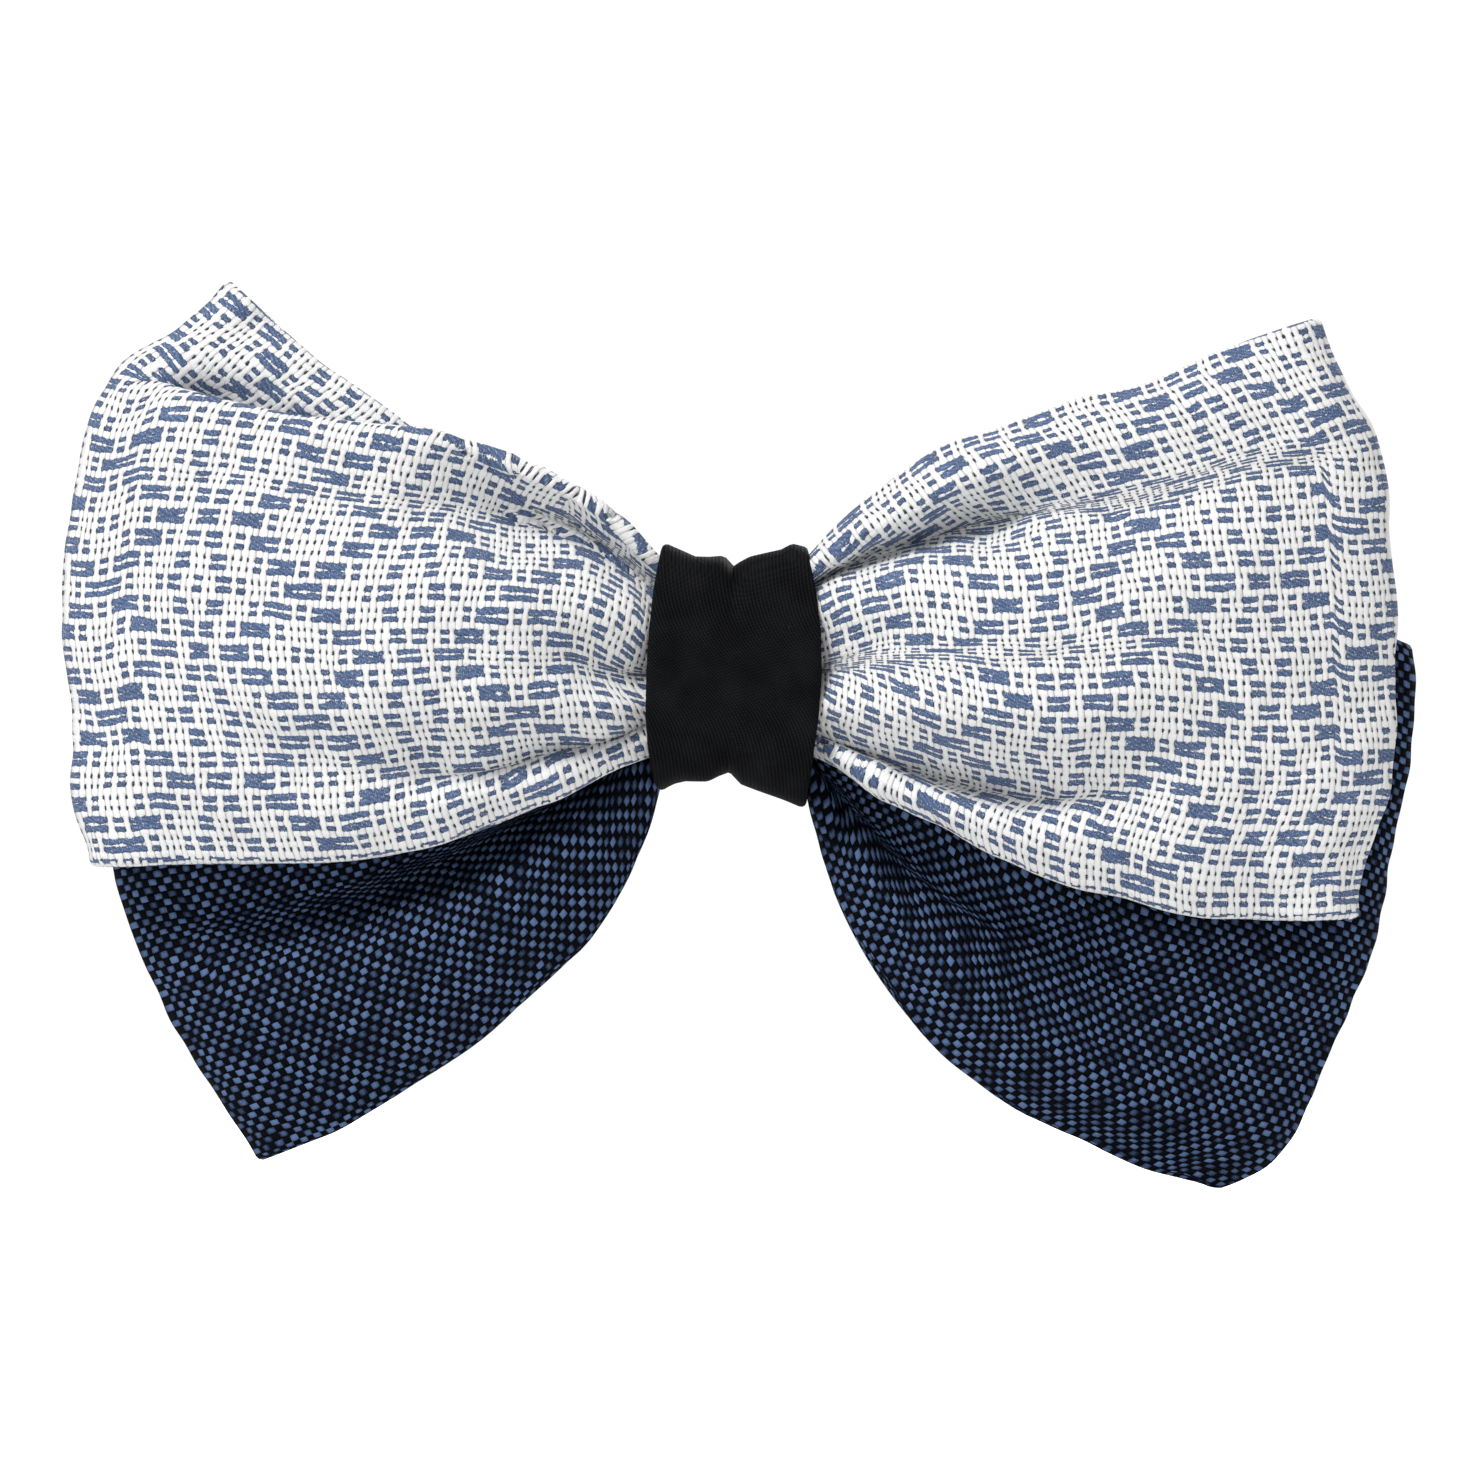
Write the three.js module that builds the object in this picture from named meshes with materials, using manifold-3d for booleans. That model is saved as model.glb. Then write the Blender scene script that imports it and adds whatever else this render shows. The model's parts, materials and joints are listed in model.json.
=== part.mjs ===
// A ready-tied double bow tie that clips to a shirt collar.
//
// Two gathered cloth bows lie one on the other. Each is a flat tube of cloth with a stiffening strip
// inside, folded into a left and a right loop whose ends meet behind the neck. A thread binds each
// neck, a band wraps both, and a steel clip with two sprung jaws is sewn on the band's back.
//
// Millimetres. The front faces -Y, +Z is up as worn, and +X is to the right seen from the front.
// The origin is the middle of the clip's raised pad, which bears on the collar.
import * as THREE from "three";
import { mergeVertices } from "three/addons/utils/BufferGeometryUtils.js";
import Module from "manifold-3d";

const wasm = await Module();
wasm.setup();

// ---- Driving dimensions ----

const touch = 0.3; // gap kept between pieces that bear on each other

// Overall
const bowWidth = 150;
const bowHeight = 100;

// Cloth
const clothWall = 0.6; // one ply of the tube
const liningThick = 0.6;
const leafGap = 0.6; // between a loop's two leaves where it is bound
const tubeEndGap = 0.8; // between the tube's two ends behind the neck
const neckShift = 3; // how much of the band's height each neck leaves to the other
const sectionSteps = 6; // faces across a leaf
const foldSteps = 4; // faces round a loop's outer fold

// Gather threads
const threadWidth = 5;
const threadThick = 0.7;

// Knot band
const bandWidth = 19.4;
const bandWall = 1.2;
const bandTop = 14.3;
const bandBottom = -13.7;
const bandCrease = 1.7; // how far the band's edges dip at its middle crease
const bandCorner = 2.2;
const bandTaper = 0.13; // share of its width that the band loses at its top and bottom
const mouthGap = 0.5; // from the band's edge to where the cloth starts to spread

// Clip
const plateLength = 46;
const plateHeight = 12;
const plateThick = 0.8;
const plateCorner = 3;
const padWidth = 3.6;
const padHeight = 4.8;
const padProud = 0.8;
const lugThick = 0.7;
const lugWall = 1.15; // metal round the pin's hole in each lug
const hingeSpan = 15; // from one hinge's axis to the other's
const hingeStandoff = 2.7; // axis above the plate
const pinRadius = 0.6;
const pinClearance = 0.15;
const pinHeadRadius = 1.1;
const pinHeadThick = 0.6;
const jawSheet = 0.7;
const jawReach = 16; // hinge axis to the toothed tip
const jawEarClearance = 0.5; // from the jaw's ears to the plate
const tabReach = 5.2; // hinge axis to the end of the thumb tab
const springClearance = 0.1; // between the coil and the pin's running clearance
const springWire = 0.6;
const stitchWire = 0.6;
const stitchSpan = 3;
const stitchRise = 4.2; // each stitch's height above or below the middle
const stitchClearance = 0.17; // round each stitch in its hole

// ---- Stack of layers, from the pad's face at Y = 0 towards the front ----

const leafThick = 2 * clothWall + 2 * touch + liningThick;
const plateRear = -padProud;
const plateFront = plateRear - plateThick;
const bandRear = plateFront - touch;
const neckDepth = 2 * leafThick + leafGap;
const bundleDepth = neckDepth + 2 * touch + 2 * threadThick;
const backBundleRear = bandRear - bandWall - touch;
const frontBundleRear = backBundleRear - bundleDepth - touch;
const bandFront = frontBundleRear - bundleDepth - touch - bandWall;
const backNeckRear = backBundleRear - threadThick - touch;
const frontNeckRear = frontBundleRear - threadThick - touch;

// The bound part of a bow fits inside its thread, and the thread inside the band's crease.
const threadTop = bandTop - bandCrease - bandWall - touch;
const threadBottom = bandBottom + bandCrease + bandWall + touch;
const neckTop = threadTop - threadThick - touch;
const neckBottom = threadBottom + threadThick + touch;
// Where it leaves the band, it may fill the band's full inner height.
const mouthX = bandWidth / 2 + mouthGap;
const mouthTop = bandTop - bandWall - touch;
const mouthBottom = bandBottom + bandWall + touch;

// ---- Geometry helpers ----

const material = (color, roughness, metalness = 0) =>
  new THREE.MeshStandardMaterial({ color, roughness, metalness });

function solidFrom(geometry) {
  const bare = new THREE.BufferGeometry();
  bare.setAttribute("position", geometry.getAttribute("position").clone());
  bare.setIndex(geometry.index);
  const merged = mergeVertices(bare, 1e-4);
  return new wasm.Manifold(
    new wasm.Mesh({
      numProp: 3,
      vertProperties: merged.attributes.position.array,
      triVerts: new Uint32Array(merged.index.array),
    }),
  );
}

function geometryFrom(solid) {
  const mesh = solid.getMesh();
  const geometry = new THREE.BufferGeometry();
  const positions = new THREE.BufferAttribute(mesh.vertProperties, 3);
  geometry.setAttribute("position", positions);
  geometry.setIndex([...mesh.triVerts]);
  return geometry.toNonIndexed();
}

// Points [u, v] extruded from low to high along the third axis: "z" takes them as x, y and "y" as x, z.
function prism(points, low, high, along = "z") {
  const shape = new THREE.Shape(points.map(([u, v]) => new THREE.Vector2(u, v)));
  const body = new THREE.ExtrudeGeometry(shape, {
    depth: high - low,
    bevelEnabled: false,
  });
  body.translate(0, 0, low);
  // turning +90 degrees about X carries the depth onto -Y, so the shape is built from -high to -low
  if (along === "y") {
    body.translate(0, 0, -low - high);
    body.rotateX(Math.PI / 2);
  }
  return solidFrom(body);
}

function arc(x, y, radius, from, to, steps) {
  return Array.from({ length: steps + 1 }, (_, i) => {
    const a = THREE.MathUtils.degToRad(from + ((to - from) * i) / steps);
    return [x + radius * Math.cos(a), y + radius * Math.sin(a)];
  });
}

const disc = (x, y, radius, low, high, along = "z") =>
  prism(arc(x, y, radius, 0, 337.5, 15), low, high, along);

function roundedRectangle(left, right, bottom, top, radius, steps) {
  return [
    ...arc(right - radius, top - radius, radius, 0, 90, steps),
    ...arc(left + radius, top - radius, radius, 90, 180, steps),
    ...arc(left + radius, bottom + radius, radius, 180, 270, steps),
    ...arc(right - radius, bottom + radius, radius, 270, 360, steps),
  ];
}

// The outline of a bent sheet of even thickness, from the middle line of its section.
function sheetOutline(line, thick) {
  const points = line.map(([x, y]) => new THREE.Vector2(x, y));
  const sides = points.map((p, i) => {
    const before = points[Math.max(i - 1, 0)];
    const after = points[Math.min(i + 1, points.length - 1)];
    const into = p.clone().sub(before).normalize();
    const out = after.clone().sub(p).normalize();
    const along = into.clone().add(out).normalize();
    const mitre = Math.max(along.dot(out), along.dot(into));
    const offset = new THREE.Vector2(-along.y, along.x);
    return offset.multiplyScalar(thick / 2 / mitre);
  });
  const upper = points.map((p, i) => p.clone().add(sides[i]).toArray());
  const lower = points.map((p, i) => p.clone().sub(sides[i]).toArray());
  return [...upper, ...lower.reverse()];
}

// A closed mesh from rings of equal length: the skin over them, and over innerRings if the body is a
// tube. ends says how the first and last ring close: "ring" onto the inner ring, or "flat".
function loft(rings, innerRings) {
  const count = rings[0].length;
  const positions = [...rings, ...(innerRings ?? [])].flat(2);
  const index = [];
  const at = (ring, i) => ring * count + (i % count);
  const quad = (a, b, c, d) => index.push(a, b, c, a, c, d);
  // both skins split their faces along the same diagonal, so that they stay parallel
  const skin = (first, turned) => {
    for (let r = first; r < first + rings.length - 1; r++)
      for (let i = 0; i < count; i++) {
        const [a, b, c, d] = [at(r, i), at(r, i + 1), at(r + 1, i + 1), at(r + 1, i)];
        if (turned) index.push(a, c, b, a, d, c);
        else quad(a, b, c, d);
      }
  };
  skin(0, false);
  const last = rings.length - 1;
  if (innerRings) {
    skin(rings.length, true);
    const inner = rings.length;
    for (let i = 0; i < count; i++) {
      quad(at(0, i + 1), at(0, i), at(inner, i), at(inner, i + 1));
      const far = inner + last;
      quad(at(last, i), at(last, i + 1), at(far, i + 1), at(far, i));
    }
  } else {
    for (let i = 0; i < count / 2 - 1; i++) {
      const j = count - 1 - i;
      quad(at(0, i + 1), at(0, i), at(0, j), at(0, j - 1));
      quad(at(last, i), at(last, i + 1), at(last, j - 1), at(last, j));
    }
  }
  const geometry = new THREE.BufferGeometry();
  geometry.setAttribute("position", new THREE.Float32BufferAttribute(positions, 3));
  geometry.setIndex(index);
  if (volumeOf(geometry) < 0) geometry.setIndex(index.reverse());
  return geometry.toNonIndexed();
}

function volumeOf(geometry) {
  const p = geometry.getAttribute("position");
  const corner = (i) => new THREE.Vector3().fromBufferAttribute(p, geometry.index.getX(i));
  let volume = 0;
  for (let i = 0; i < geometry.index.count; i += 3)
    volume += corner(i).dot(corner(i + 1).cross(corner(i + 2))) / 6;
  return volume;
}

// ---- Cloth loops ----

// The ribs below are drawn for a bow this wide and tall, whose wings spread from this far out.
const drawn = { width: 150, height: 100, mouthX: 10.2 };

// A rib crosses a wing: low and high are the [x, z] of the cloth's lower and upper edge there, and
// rear and front are how far the loop's two leaves lie behind the neck's rear face or before its
// front face. crown is how much more the front leaf swells half-way up. The last rib is the outer
// fold, and bow is how far its middle stands out of the line between its ends.
const frontLeft = [
  { low: [-15.3, -11], high: [-14, 19.5], rear: 0, front: 2, crown: 2 },
  { low: [-27, -16.5], high: [-27.7, 26], rear: 0, front: 4, crown: 3 },
  { low: [-42, -20.5], high: [-42, 32.5], rear: 0, front: 4.5, crown: 3 },
  { low: [-57, -20.8], high: [-55, 43], rear: 0, front: 3.5, crown: 2.5 },
  { low: [-71, -20.4], high: [-69.8, 33.2], rear: 0, front: 2, crown: 0, bow: 3.8 },
];
const frontRight = [
  { low: [15.4, -11.7], high: [14, 20], rear: 0, front: 2, crown: 2 },
  { low: [27.2, -18.6], high: [25.6, 26.4], rear: 0, front: 4, crown: 3 },
  { low: [41.5, -24.2], high: [41, 31], rear: 0, front: 4.5, crown: 3 },
  { low: [56, -27], high: [53, 35.1], rear: 0, front: 3.5, crown: 2.5 },
  { low: [69.6, -26.9], high: [64.5, 38.8], rear: 0, front: 2, crown: 0, bow: 6.5 },
];
const backLeft = [
  { low: [-11.5, -23], high: [-14, 13], rear: 1, front: 0.3, crown: 0 },
  { low: [-17.3, -30.6], high: [-24, 17], rear: 1.6, front: 1, crown: 0 },
  { low: [-30, -41.5], high: [-40, 18], rear: 1.8, front: 1, crown: 0 },
  { low: [-42, -49.5], high: [-56, 15], rear: 1.4, front: 0.8, crown: 0 },
  { low: [-52.3, -53.4], high: [-71, 8], rear: 0, front: 0, crown: 0, bow: 6.5 },
];
const backRight = [
  { low: [11.8, -26], high: [15, 13], rear: 1, front: 0.3, crown: 0 },
  { low: [17.5, -35.5], high: [26, 16], rear: 1.6, front: 1, crown: 0 },
  { low: [29.6, -46.9], high: [42, 16], rear: 1.8, front: 1, crown: 0 },
  { low: [42, -52.6], high: [58, 12], rear: 1.4, front: 0.8, crown: 0 },
  { low: [55.5, -56.4], high: [75.6, 3.5], rear: 0, front: 0, crown: 0, bow: 6 },
];

// A drawn point at the bow's real size: the mouth stays by the band and the wing stretches from it.
function atSize([x, z]) {
  const stretch = (bowWidth / 2 - mouthX) / (drawn.width / 2 - drawn.mouthX);
  const reach = mouthX + (Math.abs(x) - drawn.mouthX) * stretch;
  return [Math.sign(x) * reach, (z * bowHeight) / drawn.height];
}

// The stations of one wing, from the rear leaf at the neck, round the outer fold, to the front leaf.
// Each has the lower and upper edge, the direction of the tube's thickness, and what its middle adds.
function wingStations(drawnRibs, neckRear, mouthLow, mouthHigh) {
  const ribs = drawnRibs.map((r) => ({ ...r, low: atSize(r.low), high: atSize(r.high) }));
  const side = Math.sign(ribs[0].low[0]);
  const rearY = neckRear - leafThick / 2;
  const frontY = neckRear - neckDepth + leafThick / 2;
  const flat = (x, low, high) => ({
    low: [x, low],
    high: [x, high],
    rear: 0,
    front: 0,
    crown: 0,
  });
  const bound = [
    flat((side * tubeEndGap) / 2, neckBottom, neckTop),
    flat((side * threadWidth) / 2 + side * touch, neckBottom, neckTop),
    flat(side * mouthX, mouthLow, mouthHigh),
  ];
  const edge = ribs.at(-1);
  const leaf = (rib, isFront) => {
    const y = isFront ? frontY - rib.front : rearY + rib.rear;
    return {
      low: new THREE.Vector3(rib.low[0], y, rib.low[1]),
      high: new THREE.Vector3(rib.high[0], y, rib.high[1]),
      across: new THREE.Vector3(0, isFront ? -1 : 1, 0),
      middle: new THREE.Vector3(0, isFront ? -rib.crown : 0, 0),
    };
  };
  const inner = [...bound, ...ribs.slice(0, -1)];
  // the fold is a half round whose outside reaches the edge rib
  const from = rearY + edge.rear;
  const to = frontY - edge.front;
  const radius = (from - to) / 2;
  const along = new THREE.Vector3(edge.high[0] - edge.low[0], 0, edge.high[1] - edge.low[1]);
  const outward = new THREE.Vector3(along.z, 0, -along.x).normalize();
  if (outward.x * side < 0) outward.negate();
  const fold = Array.from({ length: foldSteps + 1 }, (_, i) => {
    const turn = (Math.PI * i) / foldSteps;
    const reach = radius * Math.sin(turn) - radius - leafThick / 2;
    const shift = outward.clone().multiplyScalar(reach);
    shift.y = (from + to) / 2 + radius * Math.cos(turn);
    return {
      low: new THREE.Vector3(edge.low[0], 0, edge.low[1]).add(shift),
      high: new THREE.Vector3(edge.high[0], 0, edge.high[1]).add(shift),
      across: outward
        .clone()
        .multiplyScalar(Math.sin(turn))
        .add(new THREE.Vector3(0, Math.cos(turn), 0)),
      middle: outward.clone().multiplyScalar(edge.bow),
    };
  });
  return [
    ...inner.map((rib) => leaf(rib, false)),
    ...fold,
    ...inner.map((rib) => leaf(rib, true)).reverse(),
  ];
}

// One section of the flat tube at a station, inset from its outer surface.
function tubeSection(station, inset) {
  const width = station.high.distanceTo(station.low);
  const points = [];
  for (const face of [1, -1])
    for (let i = 0; i <= sectionSteps; i++) {
      const step = face > 0 ? i : sectionSteps - i;
      const t = THREE.MathUtils.lerp(inset / width, 1 - inset / width, step / sectionSteps);
      points.push(
        station.low
          .clone()
          .lerp(station.high, t)
          .addScaledVector(station.middle, 4 * t * (1 - t))
          .addScaledVector(station.across, face * (leafThick / 2 - inset))
          .toArray(),
      );
    }
  return points;
}

function bowParts(left, right, neckRear, mouthLow, mouthHigh) {
  const leftStations = wingStations(left, neckRear, mouthLow, mouthHigh);
  const rightStations = wingStations(right, neckRear, mouthLow, mouthHigh);
  // the front leaf runs straight through the neck, so its stations by the tube's ends are dropped
  const stations = [...leftStations.slice(0, -1), ...rightStations.slice(0, -1).reverse()];
  const rings = (inset) => stations.map((s) => tubeSection(s, inset));
  return {
    cloth: loft(rings(0), rings(clothWall)),
    lining: loft(rings(clothWall + touch)),
  };
}

// ---- Bands round the neck ----

// A closed band round the X axis. edges(x) gives its rear, front, bottom and top there.
function wrap(xs, edges, wall, corner, taper) {
  const ring = (x, inset) => {
    const { rear, front, bottom, top } = edges(x);
    const middle = (top + bottom) / 2;
    const half = (top - bottom) / 2;
    return roundedRectangle(
      front + inset,
      rear - inset,
      bottom + inset,
      top - inset,
      corner - inset,
      4,
    ).map(([y, z]) => [x * (1 - taper * ((z - middle) / half) ** 2), y, z]);
  };
  return loft(
    xs.map((x) => ring(x, 0)),
    xs.map((x) => ring(x, wall)),
  );
}

function knotBand() {
  const half = bandWidth / 2;
  const dip = (x) => bandCrease * Math.max(0, 1 - Math.abs(x) / (half / 2));
  const edges = (x) => ({
    rear: bandRear,
    front: bandFront,
    bottom: bandBottom + dip(x),
    top: bandTop - dip(x),
  });
  return wrap([-half, -half / 2, 0, half / 2, half], edges, bandWall, bandCorner, bandTaper);
}

const threadCorner = bandCorner - bandWall;

function gatherThread(rear) {
  const edges = () => ({
    rear,
    front: rear - bundleDepth,
    bottom: threadBottom,
    top: threadTop,
  });
  return wrap([-threadWidth / 2, threadWidth / 2], edges, threadThick, threadCorner, 0);
}

// Ladder stitches along X that close the band below the clip.
function bandSeamThread() {
  const stitches = 9;
  const reach = bandWidth / 2 - 2.2;
  const rise = 0.5;
  const seamZ = (bandBottom - plateHeight / 2) / 2;
  const points = Array.from({ length: stitches + 1 }, (_, i) => {
    const x = THREE.MathUtils.lerp(-reach, reach, i / stitches);
    return [x, seamZ + (i % 2 ? rise : -rise)];
  });
  const y = bandRear + touch / 2;
  return prism(sheetOutline(points, stitchWire), y, y + stitchWire, "y");
}

// ---- Clip ----

const hingeY = plateRear + hingeStandoff;
const lugOuter = plateHeight / 2;
const lugInner = lugOuter - lugThick;
const jawHalf = lugInner - touch;
const holeRadius = pinRadius + pinClearance;
const lugRadius = holeRadius + lugWall;
const jawEarRadius = hingeStandoff - jawEarClearance;
const stitchHoleRadius = stitchWire * Math.SQRT1_2 + stitchClearance;

function clipPlate() {
  const outline = roundedRectangle(
    -plateLength / 2,
    plateLength / 2,
    -plateHeight / 2,
    plateHeight / 2,
    plateCorner,
    4,
  );
  let plate = prism(outline, plateFront, plateRear, "y");
  const pad = roundedRectangle(
    -padWidth / 2,
    padWidth / 2,
    -padHeight / 2,
    padHeight / 2,
    0.8,
    3,
  );
  plate = plate.add(prism(pad, plateRear - plateThick / 2, 0, "y"));
  for (const side of [-1, 1]) {
    const x = (side * hingeSpan) / 2;
    const foot = lugRadius + 0.8;
    const root = plateRear - plateThick / 2;
    const lug = [[x - foot, root], [x + foot, root], ...arc(x, hingeY, lugRadius, 0, 180, 8)];
    for (const [low, high] of [
      [lugInner, lugOuter],
      [-lugOuter, -lugInner],
    ])
      plate = plate.add(prism(lug, low, high));
    plate = plate.subtract(disc(x, hingeY, holeRadius, -plateHeight, plateHeight));
    for (const rise of [-stitchRise, stitchRise]) {
      const hole = [(side * stitchSpan) / 2, rise, stitchHoleRadius];
      plate = plate.subtract(disc(...hole, plateFront - 1, plateRear + 1, "y"));
    }
  }
  return geometryFrom(plate);
}

// One jaw about its hinge at the local origin: a thumb tab, a hump over the spring and an arm.
function jaw(side) {
  const seat = -hingeStandoff + touch + jawSheet / 2; // middle of the sheet where it lies on the plate
  const crown = jawEarRadius + 0.15;
  const line = [
    [-tabReach, crown + 1.25],
    [-tabReach * 0.6, crown + 0.6],
    [0, crown],
    [1.8, crown - 0.45],
    [3.3, -0.2],
    [4.7, seat + 0.3],
    [jawReach * 0.55, seat + 0.15],
    [jawReach - 1.1, seat + 0.45],
    [jawReach, seat],
  ];
  let body = prism(sheetOutline(line, jawSheet), -jawHalf, jawHalf);
  const plan = [
    [-tabReach - 1, -jawHalf * 0.6],
    [-tabReach + 0.6, -jawHalf * 0.8],
    [-2.2, -jawHalf],
    [4.5, -jawHalf],
    [jawReach + 1, -jawHalf * 0.82],
    [jawReach + 1, jawHalf * 0.82],
    [4.5, jawHalf],
    [-2.2, jawHalf],
    [-tabReach + 0.6, jawHalf * 0.8],
    [-tabReach - 1, jawHalf * 0.6],
  ];
  body = body.intersect(prism(plan, -jawReach, jawReach, "y"));
  const ear = [...arc(0, 0, jawEarRadius, 180, 360, 8), [2, crown - 0.5], [0, crown], [-2, crown + 0.4]];
  for (const [low, high] of [
    [jawHalf - jawSheet, jawHalf],
    [-jawHalf, jawSheet - jawHalf],
  ])
    body = body.add(prism(ear, low, high));
  body = body.subtract(disc(0, 0, holeRadius, -plateHeight, plateHeight));
  const teeth = 4;
  const pitch = (2 * jawHalf * 0.82) / teeth;
  for (let i = 1; i < teeth; i++) {
    const z = (i - teeth / 2) * pitch;
    const notch = [
      [jawReach - 0.9, z],
      [jawReach + 1, z - pitch * 0.45],
      [jawReach + 1, z + pitch * 0.45],
    ];
    body = body.subtract(prism(notch, -jawReach, jawReach, "y"));
  }
  return geometryFrom(placedAtHinge(body, side));
}

// A piece drawn for the right hinge about the local origin, in its place at either hinge.
function placedAtHinge(body, side) {
  const turned = side > 0 ? body : body.mirror([1, 0, 0]);
  return turned.translate([(side * hingeSpan) / 2, hingeY, 0]);
}

function pivotPin(side) {
  const shank = lugOuter + touch / 2;
  const head = shank + pinHeadThick;
  const profile = [
    [0, -head],
    [pinHeadRadius * 0.8, -head],
    [pinHeadRadius, -shank],
    [pinRadius, -shank],
    [pinRadius, shank],
    [pinHeadRadius, shank],
    [pinHeadRadius * 0.8, head],
    [0, head],
  ].map(([r, y]) => new THREE.Vector2(r, y));
  const pin = new THREE.LatheGeometry(profile, 16);
  pin.rotateX(Math.PI / 2);
  return geometryFrom(placedAtHinge(solidFrom(pin), side));
}

// The closed coil of a torsion spring on the pin, with the leg that bears on the plate.
function spring(side) {
  const inside = holeRadius + springClearance;
  const half = jawHalf - jawSheet - touch;
  let coil = disc(0, 0, inside + springWire, -half, half);
  const rest = -hingeStandoff + touch;
  const leg = [
    [0.3, -inside - springWire / 2],
    [-4.2, rest + springWire],
    [-4.2, rest],
    [0.3, -inside - springWire],
  ];
  coil = coil.add(prism(leg, half - springWire, half));
  coil = coil.subtract(disc(0, 0, inside, -plateHeight, plateHeight));
  return geometryFrom(placedAtHinge(coil, side));
}

// A stitch over the plate through its two holes, down to the band.
function clipStitch(rise) {
  const half = stitchSpan / 2;
  const foot = bandRear + touch / 2;
  const over = plateRear + touch / 3 + stitchWire / 2;
  const line = [
    [-half, foot],
    [-half, over],
    [half, over],
    [half, foot],
  ];
  const outline = sheetOutline(line, stitchWire);
  return prism(outline, rise - stitchWire / 2, rise + stitchWire / 2);
}

// ---- Assembly ----

const patternedCloth = material(0x9fb0cb, 0.95);
const navyCloth = material(0x26344d, 0.95);
const interlining = material(0xe9e6dc, 1);
const blackTwill = material(0x1c1d20, 0.85);
const blackThread = material(0x202126, 0.8);
const paleThread = material(0xdedcd4, 0.8);
const nickelSteel = material(0xb9bcc0, 0.35, 1);

const bowTie = new THREE.Group();
const bow = new THREE.Group();
bowTie.add(bow);

function place(group, name, geometry, look) {
  geometry.computeVertexNormals();
  const mesh = new THREE.Mesh(geometry, look);
  mesh.name = name;
  group.add(mesh);
}

// the front bow's neck sits high in the band and the back bow's neck low
const front = bowParts(frontLeft, frontRight, frontNeckRear, mouthBottom + neckShift, mouthTop);
const back = bowParts(backLeft, backRight, backNeckRear, mouthBottom, mouthTop - neckShift);
place(bow, "front_bow", front.cloth, patternedCloth);
place(bow, "front_bow_interlining", front.lining, interlining);
place(bow, "back_bow", back.cloth, navyCloth);
place(bow, "back_bow_interlining", back.lining, interlining);
place(bow, "front_gather_thread", gatherThread(frontBundleRear), paleThread);
place(bow, "back_gather_thread", gatherThread(backBundleRear), blackThread);
place(bow, "knot_band", knotBand(), blackTwill);
place(bow, "band_seam_thread", geometryFrom(bandSeamThread()), blackThread);
place(bow, "clip_plate", clipPlate(), nickelSteel);
place(bow, "clip_stitch_upper", geometryFrom(clipStitch(stitchRise)), blackThread);
place(bow, "clip_stitch_lower", geometryFrom(clipStitch(-stitchRise)), blackThread);

for (const [name, side] of [
  ["left", -1],
  ["right", 1],
]) {
  const clip = new THREE.Group();
  bowTie.add(clip);
  place(clip, `${name}_jaw`, jaw(side), nickelSteel);
  place(clip, `${name}_pivot_pin`, pivotPin(side), nickelSteel);
  place(clip, `${name}_spring`, spring(side), nickelSteel);
}

export default bowTie;
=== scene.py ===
"""A ready-tied double bow tie: two gathered cloth bows, a black knot band and a sprung collar clip."""

import json
import math

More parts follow.
